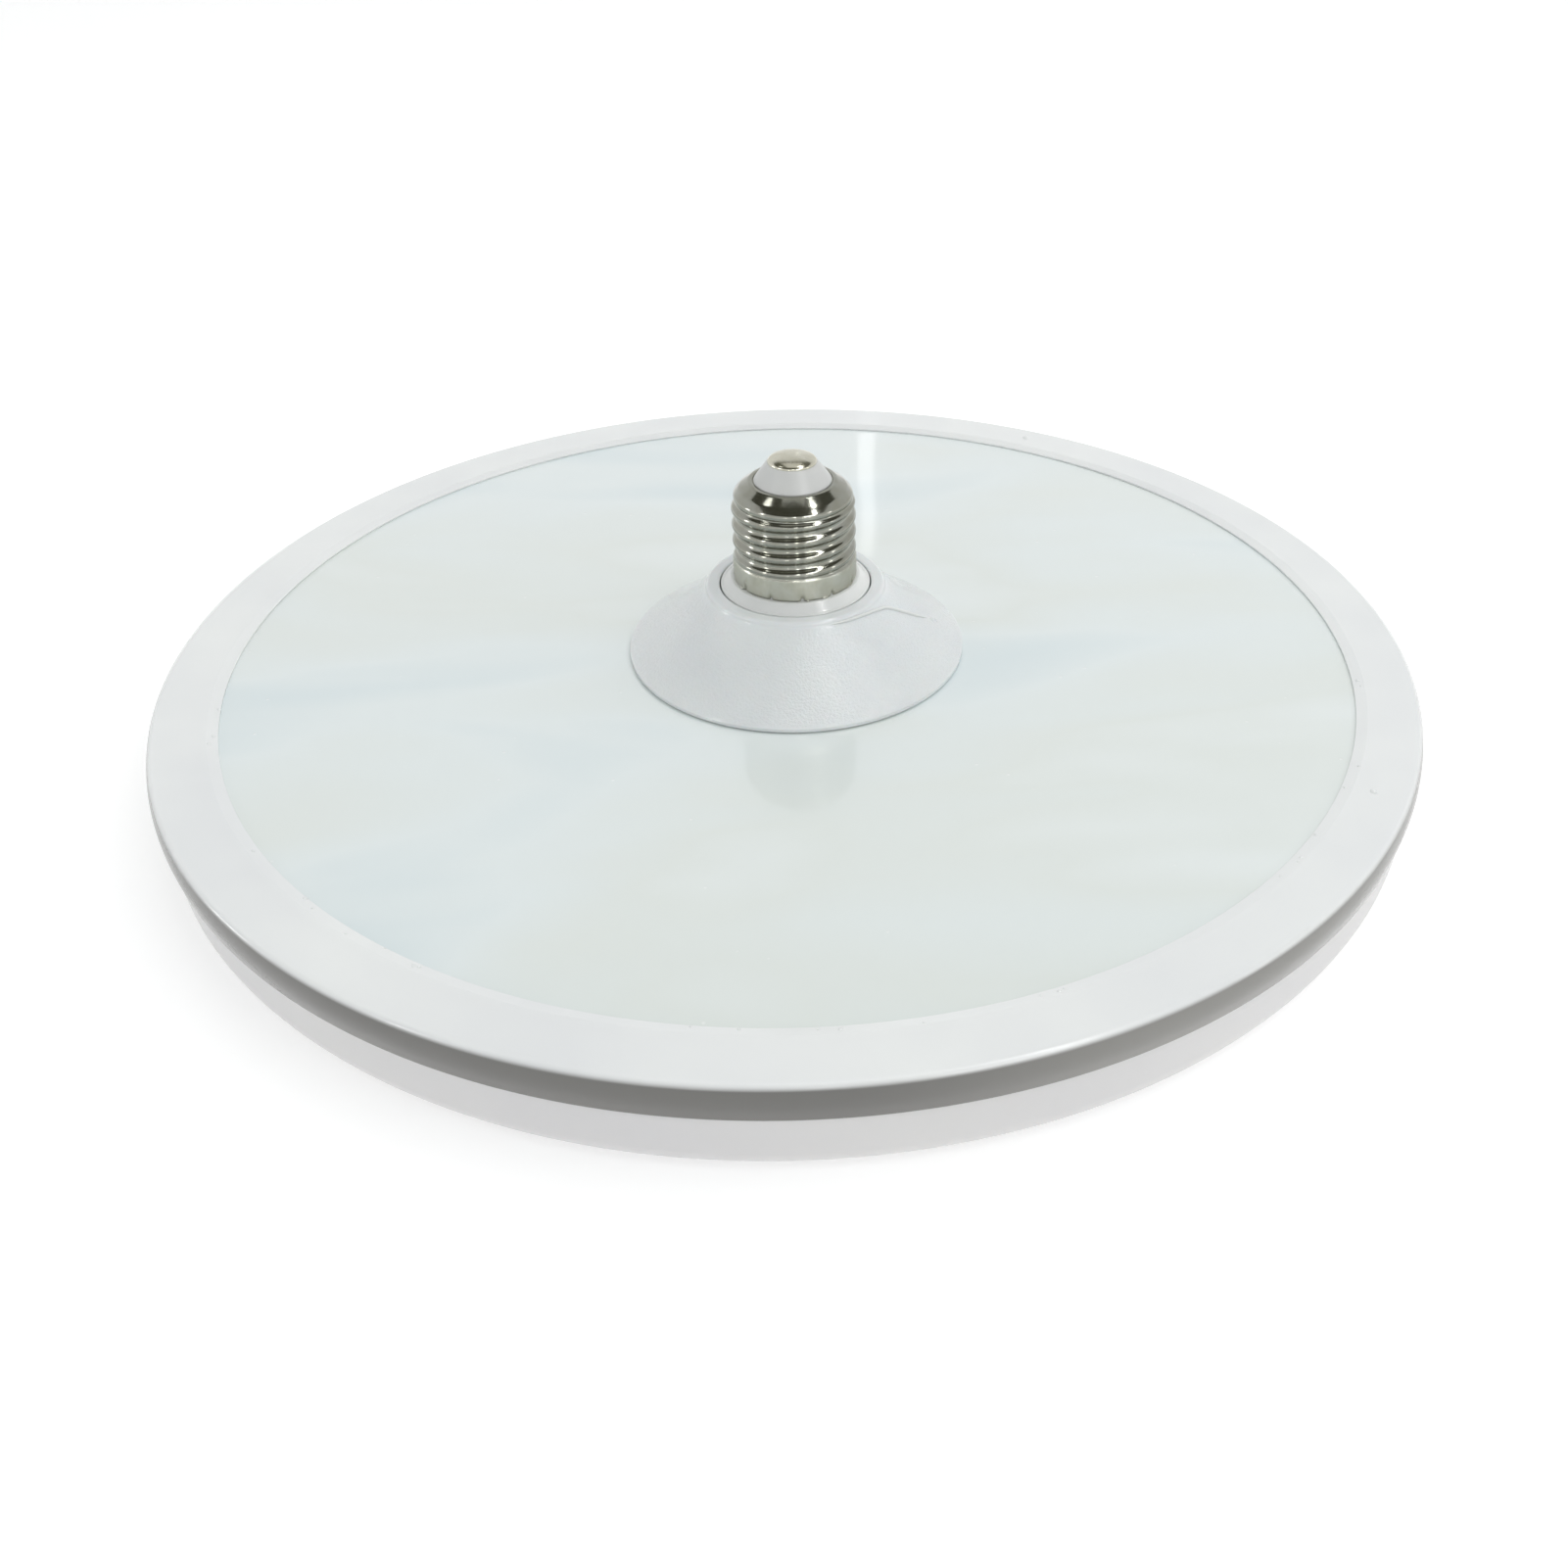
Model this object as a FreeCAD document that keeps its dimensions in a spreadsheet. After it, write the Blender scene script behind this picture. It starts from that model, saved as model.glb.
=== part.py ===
"""LED disc lamp with an E27 screw cap, lying on its diffuser.

Millimetres, +Z up. The origin is the centre of the diffuser's flat underside, and the lamp's
axis is Z. Heights in the sheet are measured from that underside unless their name says otherwise.
"""
import FreeCAD, Part
import Sketcher
import math
import os
import re

doc = FreeCAD.newDocument("led_disc_lamp")
Vector = FreeCAD.Vector

# Driving dimensions: name, value, what it is
DIMENSIONS = [
    ("clearance", 0.3, "gap between neighbouring moulded pieces"),
    ("rim_radius", 135.35, "outside of the rim"),
    ("rim_top", 20.4, "height of the rim's top band"),
    ("rim_round", 2.5, "rounding of the rim's outer top edge"),
    ("rim_depth", 7.1, "height of the rim's outer wall"),
    ("rim_taper", 0.75, "how far the outer wall leans in over its height"),
    ("rim_wall", 1.55, "thickness of the outer wall at its lower edge"),
    ("rim_width", 14.25, "from the lower edge of the bevel out to the rim's outside"),
    ("bevel_width", 2.2, "width of the bevel between plate and top band"),
    ("lip_edge", 0.2, "thickness of the lip at its inner edge"),
    ("plate_recess", 1.0, "depth of the plate below the rim's top band"),
    ("plate_overlap", 4.4, "how far the plate reaches under the lip"),
    ("plate_thick", 1.0, "thickness of the back plate"),
    ("plate_bore", 10.0, "radius of the plate's centre hole"),
    ("hook_count", 12, "hooks that hold the plate up against the lip"),
    ("hook_width", 8.0, "length of a hook along the rim"),
    ("hook_thick", 1.6, "thickness of a hook's stem"),
    ("hook_nose", 1.2, "how far a hook's nose reaches under the plate"),
    ("hook_depth", 2.6, "height of a hook below the plate"),
    ("diffuser_inset", 1.35, "how far the diffuser's outside lies inside the rim's"),
    ("diffuser_wall", 1.5, "thickness of the diffuser"),
    ("diffuser_draft", 0.4, "how far the band leans in towards the underside"),
    ("diffuser_round", 5.0, "rounding of the diffuser's lower edge"),
    ("bead_count", 12, "snap beads on the diffuser's spigot"),
    ("bead_angle", 8.0, "arc of one bead in degrees"),
    ("bead_height", 0.4, "how far a bead stands out"),
    ("bead_length", 1.2, "height of a bead along the axis"),
    ("bead_rise", 2.4, "bead's middle above the rim's lower edge"),
    ("cone_radius", 36.75, "foot of the cone cover"),
    ("cone_edge", 0.9, "height of the cone's upright foot edge"),
    ("cone_wall", 1.6, "thickness of the cone cover"),
    ("cone_flare", 62.0, "radius of the cone's hollow outline"),
    ("neck_top", 35.2, "height of the cone's lip"),
    ("neck_radius", 19.4, "outside of the cone's lip"),
    ("neck_round", 0.9, "rounding of the cone's lip"),
    ("neck_depth", 3.0, "height of the cone's neck bore"),
    ("cone_screw_inset", 8.75, "cone screws' middle from the cone's foot"),
    ("boss_radius", 2.6, "outside of a screw boss"),
    ("pilot_radius", 1.15, "radius of a boss's pilot hole"),
    ("boss_sink", 0.25, "how far a cone boss stops below the height of the wall over its middle"),
    ("pilot_roof", 0.7, "material left above a pilot hole"),
    ("cup_radius", 16.1, "outside of the neck cup"),
    ("cup_wall", 1.8, "thickness of the neck cup"),
    ("collar_low", 34.8, "height where the collar's slope starts"),
    ("collar_edge", 13.7, "radius of the collar's top edge"),
    ("boss_gap", 1.0, "gap between the neck cup's flange and the cone's bosses"),
    ("flange_thick", 2.0, "thickness of the foot flange"),
    ("cup_boss_height", 7.0, "height of the cup's screw bosses above the plate"),
    ("spigot_wall", 1.3, "thickness of the spigot inside the cap"),
    ("spigot_height", 9.6, "height of the spigot above the collar"),
    ("rail_depth", 2.4, "how far the board rails stand into the cup"),
    ("rail_thick", 1.2, "thickness of a board rail"),
    ("rail_height", 12.0, "height of the board rails"),
    ("cap_base", 36.8, "height of the cap's skirt edge"),
    ("skirt_radius", 13.2, "outside of the cap's plain skirt"),
    ("skirt_height", 4.4, "height of the plain skirt"),
    ("skirt_ramp", 1.0, "height of the step from skirt to thread root"),
    ("shell_wall", 0.3, "sheet thickness of the screw shell"),
    ("thread_pitch", 3.629, "pitch of the E27 thread"),
    ("thread_crest", 13.12, "crest radius of the E27 thread"),
    ("thread_depth", 1.095, "crest to root of the E27 thread"),
    ("thread_round", 1.025, "radius of crest and root of the E27 thread"),
    ("root_flat", 0.06, "how far the shell's wall between the teeth stands off the root"),
    ("thread_turns", 4, "full turns of the thread before it runs out"),
    ("run_out_turns", 0.5, "turns over which the thread sinks into the shoulder"),
    ("run_out_lean", 27.0, "angle at which the thread sinks into the shoulder"),
    ("thread_start", 3.1, "first crest above the skirt's edge"),
    ("shell_height", 21.9, "height of the screw shell"),
    ("shoulder_radius", 12.65, "widest part of the shell's shoulder"),
    ("shoulder_low", 18.3, "height of the shoulder's widest part in the shell"),
    ("shoulder_round", 4.2, "rounding of the shoulder"),
    ("mouth_radius", 8.3, "opening at the shell's top"),
    ("insulator_radius", 8.15, "foot of the insulator's cone"),
    ("insulator_tip", 5.3, "top of the insulator's cone"),
    ("insulator_height", 3.9, "height of the insulator above the shell"),
    ("insulator_flange", 10.0, "flange of the insulator inside the shell"),
    ("insulator_flange_thick", 1.3, "thickness of the insulator's flange"),
    ("insulator_seat", 1.6, "flange's upper edge below the shell's top"),
    ("contact_radius", 5.15, "rim of the centre contact"),
    ("contact_edge", 0.45, "thickness of the contact's rim"),
    ("contact_dome", 1.1, "height of the contact's dome above its rim"),
    ("stem_radius", 1.6, "stem of the centre contact"),
    ("stem_length", 7.0, "length of the contact's stem below its rim"),
    ("fit_gap", 0.1, "gap round stems and screws"),
    ("led_board_radius", 95.0, "outside of the LED board"),
    ("led_board_thick", 1.0, "thickness of the LED board"),
    ("led_board_bore", 8.0, "centre hole of the LED board"),
    ("led_length", 3.5, "LED package along the ring"),
    ("led_width", 2.8, "LED package across the ring"),
    ("led_thick", 0.7, "height of an LED package"),
    ("led_ring_first", 44.0, "radius of the inner ring of LEDs"),
    ("led_ring_step", 20.0, "distance between rings of LEDs"),
    ("led_ring_count", 3, "rings of LEDs"),
    ("led_first_count", 16, "LEDs in the inner ring"),
    ("led_extra_count", 8, "more LEDs in each next ring"),
    ("screw_count", 4, "screws in each circle of screws"),
    ("screw_radius", 1.05, "shank of a screw"),
    ("screw_head_radius", 2.8, "head of a screw"),
    ("screw_head_height", 1.9, "height of a screw's head"),
    ("screw_slack", 0.4, "free depth of a pilot hole beyond its screw"),
    ("screw_recess_radius", 1.3, "driver recess of a screw's head"),
    ("screw_recess_depth", 1.0, "depth of the driver recess"),
    ("board_thick", 1.6, "thickness of the driver board"),
    ("board_low_width", 26.0, "width of the driver board in the cup"),
    ("board_low_height", 13.5, "height of the wide part of the driver board"),
    ("board_high_width", 17.0, "width of the driver board in the cap"),
    ("board_high_height", 19.5, "height of the narrow part of the driver board"),
    ("capacitor_radius", 4.0, "bulk capacitor"),
    ("capacitor_length", 14.0, "length of the bulk capacitor"),
    ("capacitor_crimp", 0.35, "depth of the capacitor's crimp groove"),
    ("capacitor_crimp_level", 1.4, "groove's lower edge above the capacitor's foot"),
    ("capacitor_lift", 1.2, "capacitor above the step of the driver board"),
    ("rectifier_width", 4.7, "bridge rectifier along the board"),
    ("rectifier_height", 4.0, "bridge rectifier up the board"),
    ("rectifier_thick", 2.6, "bridge rectifier off the board"),
    ("chip_width", 3.9, "driver chip along the board"),
    ("chip_height", 4.9, "driver chip up the board"),
    ("chip_thick", 1.5, "driver chip off the board"),
    ("chip_drop", 3.0, "rectifier and driver chip below the step of the driver board"),
    ("choke_radius", 4.5, "flange of the choke's core"),
    ("choke_core_radius", 3.7, "winding of the choke"),
    ("choke_length", 7.0, "choke off the board"),
    ("choke_flange", 1.1, "thickness of a core flange"),
    ("choke_inset", 3.0, "choke's side from the driver board's side edge"),
    ("part_gap", 1.0, "least distance of choke and varistor from an edge of the driver board"),
    ("fuse_radius", 1.4, "fuse resistor's body"),
    ("fuse_length", 7.5, "length of the fuse resistor's body"),
    ("fuse_cap_length", 1.6, "length of the fuse resistor's end bulges"),
    ("fuse_waist", 1.2, "fuse resistor's radius between its bulges"),
    ("fuse_slope", 0.5, "length of the slope from bulge to waist"),
    ("fuse_inset", 2.6, "fuse resistor's side from the driver board's side edge"),
    ("fuse_lift", 2.4, "fuse resistor above the step of the driver board"),
    ("varistor_radius", 4.0, "varistor's disc"),
    ("varistor_thick", 3.2, "thickness of the varistor's disc"),
    ("varistor_round", 1.1, "rounding of the varistor's disc"),
    ("lead_radius", 0.7, "insulated leads"),
    ("mains_wire_radius", 0.4, "wires in the cap"),
    ("mains_wire_bend", 0.8, "bend radius of the wires in the cap"),
    ("live_wire_offset", 2.6, "live wire's start from the driver board's middle"),
    ("live_wire_start", 2.5, "live wire's start below the driver board's top"),
    ("neutral_wire_inset", 2.0, "neutral wire's start from the driver board's side edge"),
    ("neutral_wire_start", 3.0, "neutral wire's start below the spigot's rim"),
    ("neutral_wire_hook", 1.5, "how far the neutral wire hangs over the spigot's rim"),
    ("lead_spacing", 3.4, "distance between the two leads"),
    ("lead_bend", 5.0, "bend radius of the leads"),
    ("lead_start", 3.0, "leads' start above the driver board's lower edge"),
    ("connector_gap", 5.2, "gap between the LED connector and the nearest screw's head"),
    ("connector_width", 8.4, "width of the LED connector"),
    ("connector_length", 6.5, "length of the LED connector"),
    ("connector_height", 3.6, "height of the LED connector"),
]

# Heights and radii that follow from the driving dimensions
DERIVED = [
    ("lip_radius", "rim_radius - rim_width"),
    ("diffuser_radius", "rim_radius - diffuser_inset"),
    ("rim_bottom", "rim_top - rim_depth"),
    ("rim_bore", "rim_radius - rim_taper - rim_wall"),
    ("plate_top", "rim_top - plate_recess"),
    ("plate_bottom", "plate_top - plate_thick"),
    ("plate_radius", "lip_radius + plate_overlap"),
    ("band_top", "rim_bottom - clearance"),
    ("spigot_outer", "rim_bore - clearance"),
    ("spigot_inner", "spigot_outer - diffuser_wall"),
    ("bead_low", "rim_bottom + bead_rise - bead_length / 2"),
    ("bead_high", "rim_bottom + bead_rise + bead_length / 2"),
    ("neck_bore", "cup_radius + clearance"),
    ("cup_bore", "cup_radius - cup_wall"),
    ("skirt_inner", "skirt_radius - shell_wall"),
    ("thread_root", "thread_crest - thread_depth"),
    ("root_wall", "thread_root + root_flat"),
    ("spigot_low_radius", "skirt_inner - clearance"),
    ("spigot_high_radius", "root_wall - shell_wall - 3 * clearance"),
    ("spigot_bore", "spigot_high_radius - spigot_wall"),
    ("shell_top", "cap_base + shell_height"),
    ("insulator_top", "shell_top + insulator_height"),
    ("led_board_bottom", "plate_bottom - led_board_thick"),
    ("board_bottom", "plate_top + clearance"),
    ("board_step", "board_bottom + board_low_height"),
    ("board_top", "board_step + board_high_height"),
    ("board_face", "board_thick / 2"),
    ("lead_level", "led_board_bottom - clearance - lead_radius"),
    ("cone_foot", "plate_top + cone_edge"),
    ("cone_brow", "neck_top - neck_round"),
    ("cone_run", "cone_radius - neck_radius"),
    ("cone_rise", "cone_brow - cone_foot"),
    ("cone_slant", "sqrt(cone_run ^ 2 + cone_rise ^ 2)"),
    ("cone_inset", "cone_wall + cone_flare - sqrt(cone_flare ^ 2 - cone_slant ^ 2 / 4)"),
    ("waist_radius", "cone_radius - cone_run / 2 - cone_inset * cone_rise / cone_slant"),
    ("waist_height", "cone_foot + cone_rise / 2 - cone_inset * cone_run / cone_slant"),
    ("waist_run", "cone_radius - cone_wall - waist_radius"),
    ("cone_screw_circle", "cone_radius - cone_screw_inset"),
    ("flange_radius", "cone_screw_circle - boss_radius - boss_gap"),
    ("cup_screw_circle", "(cup_radius + flange_radius) / 2"),
    ("connector_far", "cone_screw_circle - screw_head_radius - connector_gap"),
    ("connector_distance", "connector_far - connector_length"),
    ("cone_boss_height",
     "(waist_height - plate_top) * (cone_screw_inset - cone_wall) / waist_run - boss_sink"),
    ("cone_pilot_depth", "cone_boss_height - pilot_roof"),
    ("cup_pilot_depth", "cup_boss_height - pilot_roof"),
    ("screw_seat", "plate_thick + led_board_thick - screw_slack"),
    ("cone_screw_length", "cone_pilot_depth + screw_seat"),
    ("cup_screw_length", "cup_pilot_depth + screw_seat"),
    ("cup_screw_x", "cup_screw_circle * cos(180 / screw_count)"),
    ("cup_screw_y", "cup_screw_circle * sin(180 / screw_count)"),
    ("shoulder_run", "shoulder_radius - mouth_radius"),
    ("shoulder_rise", "shell_height - shoulder_low"),
    ("shoulder_slant", "sqrt(shoulder_run ^ 2 + shoulder_rise ^ 2)"),
    ("shoulder_inset", "shoulder_round - sqrt(shoulder_round ^ 2 - shoulder_slant ^ 2 / 4) - shell_wall"),
    ("vault_radius", "mouth_radius + shoulder_run / 2 + shoulder_inset * shoulder_rise / shoulder_slant"),
    ("vault_height", "shell_top - shoulder_rise / 2 + shoulder_inset * shoulder_run / shoulder_slant"),
    ("skirt_top", "cap_base + skirt_height"),
    ("thread_low", "skirt_top + skirt_ramp"),
    ("shoulder_level", "cap_base + shoulder_low"),
    ("thread_high", "shoulder_level - skirt_ramp"),
    ("first_crest", "cap_base + thread_start"),
    ("stem_bottom", "insulator_top - stem_length"),
    ("dome_round", "(contact_radius ^ 2 + contact_dome ^ 2) / (2 * contact_dome)"),
]

sheet = doc.addObject("Spreadsheet::Sheet", "sizes")
for row, (name, value, meaning) in enumerate(DIMENSIONS, start=1):
    sheet.set(f"A{row}", name)
    sheet.set(f"B{row}", str(value))
    sheet.set(f"C{row}", meaning)
    sheet.setAlias(f"B{row}", name)
for row, (name, formula) in enumerate(DERIVED, start=len(DIMENSIONS) + 2):
    sheet.set(f"A{row}", name)
    sheet.set(f"B{row}", "=" + formula)
    sheet.setAlias(f"B{row}", name)
doc.recompute()

SIZE_NAMES = {name for name, *rest in DIMENSIONS + DERIVED}


def linked(formula):
    """The formula with every size name pointing at the sheet."""
    return re.sub(r"[a-z_]+", lambda word: "sizes." * (word[0] in SIZE_NAMES) + word[0], str(formula))


def size(formula):
    """The formula's present value as a plain number."""
    value = sheet.evalExpression(linked(formula))
    return float(getattr(value, "Value", value))


def bind(thing, **formulas):
    """Tie properties of a feature to formulas of the sheet."""
    for name, formula in formulas.items():
        thing.setExpression(name, linked(formula))


def new_body(label):
    body = doc.addObject("PartDesign::Body", label)
    body.Label = label
    return body


def put(body, x="0", y="0", z="0", rotation=None):
    """Place a finished piece; the place follows the sheet."""
    if rotation is not None:
        body.Placement = FreeCAD.Placement(Vector(), rotation)
    for axis, formula in zip("xyz", (x, y, z)):
        if formula != "0":
            body.setExpression("Placement.Base." + axis, linked(formula))


def new_sketch(body, name, role, level=None):
    """A sketch on one of the body's own origin planes, raised along the plane's normal."""
    sketch = body.newObject("Sketcher::SketchObject", name)
    plane = next(f for f in body.Origin.OriginFeatures if f.Role == role)
    sketch.AttachmentSupport = (plane, [""])
    sketch.MapMode = "FlatFace"
    if level is not None:
        sketch.setExpression("AttachmentOffset.Base.z", linked(level))
    return sketch


def tie(sketch, kind, geometry, point, formula):
    """Fix one coordinate of a point, measured from the sketch's origin."""
    index = sketch.addConstraint(Sketcher.Constraint(kind, -1, 1, geometry, point, size(formula)))
    sketch.setExpression(f"Constraints[{index}]", linked(formula))


def tie_radius(sketch, geometry, formula):
    index = sketch.addConstraint(Sketcher.Constraint("Radius", geometry, size(formula)))
    sketch.setExpression(f"Constraints[{index}]", linked(formula))


def outline(sketch, corners):
    """A closed outline through corners (x, y). A third entry (radius, side) makes the stretch to
    the next corner an arc; side 1 bows it to the left of the way the outline runs, -1 to the right."""
    places = [Vector(size(c[0]), size(c[1]), 0) for c in corners]
    ends = []
    for i, corner in enumerate(corners):
        start, end = places[i], places[(i + 1) % len(corners)]
        if len(corner) == 3:
            radius, side = size(corner[2][0]), corner[2][1]
            chord = end - start
            left = Vector(-chord.y, chord.x, 0).normalize()
            sagitta = radius - math.sqrt(radius ** 2 - (chord.Length / 2) ** 2)
            middle = (start + end) / 2 + left * side * sagitta
            geometry = sketch.addGeometry(Part.Arc(start, middle, end), False)
            tie_radius(sketch, geometry, corner[2][0])
        else:
            geometry = sketch.addGeometry(Part.LineSegment(start, end), False)
        forward = sketch.getPoint(geometry, 1).isEqual(start, 1e-4)
        ends.append((geometry, 1, 2) if forward else (geometry, 2, 1))
    for i, (geometry, first, last) in enumerate(ends):
        following, following_first, _ = ends[(i + 1) % len(ends)]
        joint = Sketcher.Constraint("Coincident", geometry, last, following, following_first)
        sketch.addConstraint(joint)
        tie(sketch, "DistanceX", geometry, first, corners[i][0])
        tie(sketch, "DistanceY", geometry, first, corners[i][1])


def circle(sketch, x, y, radius):
    round_line = Part.Circle(Vector(size(x), size(y), 0), Vector(0, 0, 1), size(radius))
    geometry = sketch.addGeometry(round_line, False)
    tie(sketch, "DistanceX", geometry, 3, x)
    tie(sketch, "DistanceY", geometry, 3, y)
    tie_radius(sketch, geometry, radius)


def turned(body, name, corners):
    """Turn an outline of (radius, height) corners about the Z axis."""
    sketch = new_sketch(body, name + "_outline", "XZ_Plane")
    outline(sketch, corners)
    feature = body.newObject("PartDesign::Revolution", name)
    feature.Profile = sketch
    feature.ReferenceAxis = (sketch, ["V_Axis"])
    feature.Angle = 360
    doc.recompute()
    return feature


def pad(body, name, sketch, length, reversed_way=False):
    feature = body.newObject("PartDesign::Pad", name)
    feature.Profile = sketch
    feature.Reversed = reversed_way
    bind(feature, Length=length)
    doc.recompute()
    return feature


def pocket_up(body, name, sketch, depth):
    """Cut upwards from the sketch, and make sure that it removed material."""
    before = body.Shape.Volume
    feature = body.newObject("PartDesign::Pocket", name)
    feature.Profile = sketch
    feature.Reversed = True
    bind(feature, Length=depth)
    doc.recompute()
    if not feature.Shape.Volume < before:
        raise RuntimeError(f"{name} cut nothing")
    return feature


def ring_of(body, name, feature, count):
    """Repeat a feature round the Z axis."""
    pattern = body.newObject("PartDesign::PolarPattern", name)
    pattern.Originals = [feature]
    axis = next(f for f in body.Origin.OriginFeatures if f.Role == "Z_Axis")
    pattern.Axis = (axis, [""])
    pattern.Angle = 360
    bind(pattern, Occurrences=count)
    body.Tip = pattern
    doc.recompute()
    return pattern


def round_edges(body, name, feature, places, radius):
    """Fillet the circular edges that lie at the given (radius, height) places."""
    wanted = [(size(r), size(z)) for r, z in places]
    edges = []
    for number, edge in enumerate(feature.Shape.Edges, start=1):
        curve = edge.Curve
        if isinstance(curve, Part.Circle):
            found = (curve.Radius, curve.Center.z)
            if any(abs(found[0] - r) < 1e-3 and abs(found[1] - z) < 1e-3 for r, z in wanted):
                edges.append(f"Edge{number}")
    if len(edges) < len(places):
        raise RuntimeError(f"{name} found no edge to round")
    fillet = body.newObject("PartDesign::Fillet", name)
    fillet.Base = (feature, edges)
    bind(fillet, Radius=radius)
    doc.recompute()
    return fillet


def turned_copies(shape, count, start_angle=0.0):
    """Copies of a solid, spread evenly round the Z axis."""
    copies = []
    for i in range(count):
        copy = shape.copy()
        copy.rotate(Vector(), Vector(0, 0, 1), start_angle + 360.0 * i / count)
        copies.append(copy)
    return copies


def plain_part(label, shape):
    part = doc.addObject("Part::Feature", label)
    part.Label = label
    part.Shape = shape
    part.Placement = FreeCAD.Placement()
    return part


# Diffuser: a shallow dish with a stepped-in spigot that snaps into the rim
def make_diffuser():
    body = new_body("diffuser")
    dish = turned(body, "dish", [
        ("0", "0"),
        ("diffuser_radius - diffuser_draft", "0"),
        ("diffuser_radius", "band_top"),
        ("spigot_outer", "band_top"),
        ("spigot_outer", "plate_bottom - clearance"),
        ("spigot_inner", "plate_bottom - clearance"),
        ("spigot_inner", "band_top - diffuser_wall"),
        ("diffuser_radius - diffuser_wall", "band_top - 2 * diffuser_wall"),
        ("diffuser_radius - diffuser_draft - diffuser_wall", "diffuser_round"),
        ("diffuser_radius - diffuser_draft - diffuser_round", "diffuser_wall"),
        ("0", "diffuser_wall"),
    ])
    round_edges(body, "lower_edge", dish, [("diffuser_radius - diffuser_draft", "0")], "diffuser_round")
    sketch = new_sketch(body, "bead_outline", "XZ_Plane")
    outline(sketch, [
        ("spigot_outer - diffuser_wall / 2", "bead_low"),
        ("spigot_outer", "bead_low"),
        ("spigot_outer + bead_height", "(bead_low + bead_high) / 2"),
        ("spigot_outer", "bead_high"),
        ("spigot_outer - diffuser_wall / 2", "bead_high"),
    ])
    bead = body.newObject("PartDesign::Revolution", "bead")
    bead.Profile = sketch
    bead.ReferenceAxis = (sketch, ["V_Axis"])
    bead.Midplane = True
    bind(bead, Angle="bead_angle")
    doc.recompute()
    ring_of(body, "beads", bead, "bead_count")
    return body


# Rim: moulded ring with a lip over the plate, hooks under it and a snap groove for the diffuser
def make_rim_ring():
    body = new_body("rim_ring")
    ring = turned(body, "ring", [
        ("lip_radius", "plate_top"),
        ("plate_radius + clearance", "plate_top"),
        ("plate_radius + clearance", "plate_bottom"),
        ("rim_bore", "plate_bottom"),
        ("rim_bore", "bead_high + clearance"),
        ("rim_bore + bead_height", "(bead_low + bead_high) / 2"),
        ("rim_bore", "bead_low - clearance"),
        ("rim_bore", "rim_bottom"),
        ("rim_radius - rim_taper", "rim_bottom"),
        ("rim_radius", "rim_top"),
        ("lip_radius + bevel_width", "rim_top"),
        ("lip_radius", "plate_top + lip_edge"),
    ])
    round_edges(body, "outer_edge", ring, [("rim_radius", "rim_top")], "rim_round")
    sketch = new_sketch(body, "hook_outline", "XZ_Plane")
    stem = "plate_radius + 2 * clearance"
    outline(sketch, [
        (stem, "plate_bottom + plate_thick / 2"),
        (stem, "plate_bottom - clearance"),
        (f"{stem} - hook_nose", "plate_bottom - clearance"),
        (f"{stem} - hook_nose", "plate_bottom - 2 * clearance"),
        (stem, "plate_bottom - hook_depth"),
        (f"{stem} + hook_thick", "plate_bottom - hook_depth"),
        (f"{stem} + hook_thick", "plate_bottom + plate_thick / 2"),
    ])
    hook = body.newObject("PartDesign::Pad", "hook")
    hook.Profile = sketch
    hook.Midplane = True
    bind(hook, Length="hook_width")
    doc.recompute()
    ring_of(body, "hooks", hook, "hook_count")
    return body


def screw_holes(body, level, depth):
    """Cup screw holes between the axes and cone screw holes on them."""
    for name, x, y in (("cup", "cup_screw_x", "cup_screw_y"), ("cone", "cone_screw_circle", "0")):
        sketch = new_sketch(body, name + "_hole_circle", "XY_Plane", level)
        circle(sketch, x, y, "screw_radius + fit_gap")
        hole = pocket_up(body, name + "_hole", sketch, depth)
        ring_of(body, name + "_holes", hole, "screw_count")


# Back plate: flat coated sheet with a wire hole and the screw holes
def make_back_plate():
    body = new_body("back_plate")
    sketch = new_sketch(body, "plate_circles", "XY_Plane", "plate_bottom")
    circle(sketch, "0", "0", "plate_radius")
    circle(sketch, "0", "0", "plate_bore")
    pad(body, "sheet", sketch, "plate_thick")
    screw_holes(body, "plate_bottom", "plate_thick")
    return body


# Cone cover: hollow-sided cone with a rounded lip round the neck and screw bosses under it
def make_cone_cover():
    body = new_body("cone_cover")
    turned(body, "cone", [
        ("cone_radius - cone_wall", "plate_top"),
        ("cone_radius", "plate_top"),
        ("cone_radius", "cone_foot", ("cone_flare", 1)),
        ("neck_radius", "cone_brow", ("neck_round", -1)),
        ("neck_radius - neck_round", "neck_top"),
        ("neck_bore", "neck_top"),
        ("neck_bore", "neck_top - neck_depth"),
        ("waist_radius", "waist_height"),
    ])
    bosses(body, "cone_screw_circle", "0", "cone_boss_height", "cone_pilot_depth")
    return body


def bosses(body, x, y, height, pilot_depth):
    """Round screw bosses that stand on the back plate, each with a blind pilot hole."""
    sketch = new_sketch(body, "boss_circle", "XY_Plane", "plate_top")
    circle(sketch, x, y, "boss_radius")
    boss = pad(body, "boss", sketch, height)
    ring_of(body, "screw_bosses", boss, "screw_count")
    sketch = new_sketch(body, "pilot_circle", "XY_Plane", "plate_top")
    circle(sketch, x, y, "pilot_radius")
    hole = pocket_up(body, "pilot_hole", sketch, pilot_depth)
    ring_of(body, "pilot_holes", hole, "screw_count")


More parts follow.
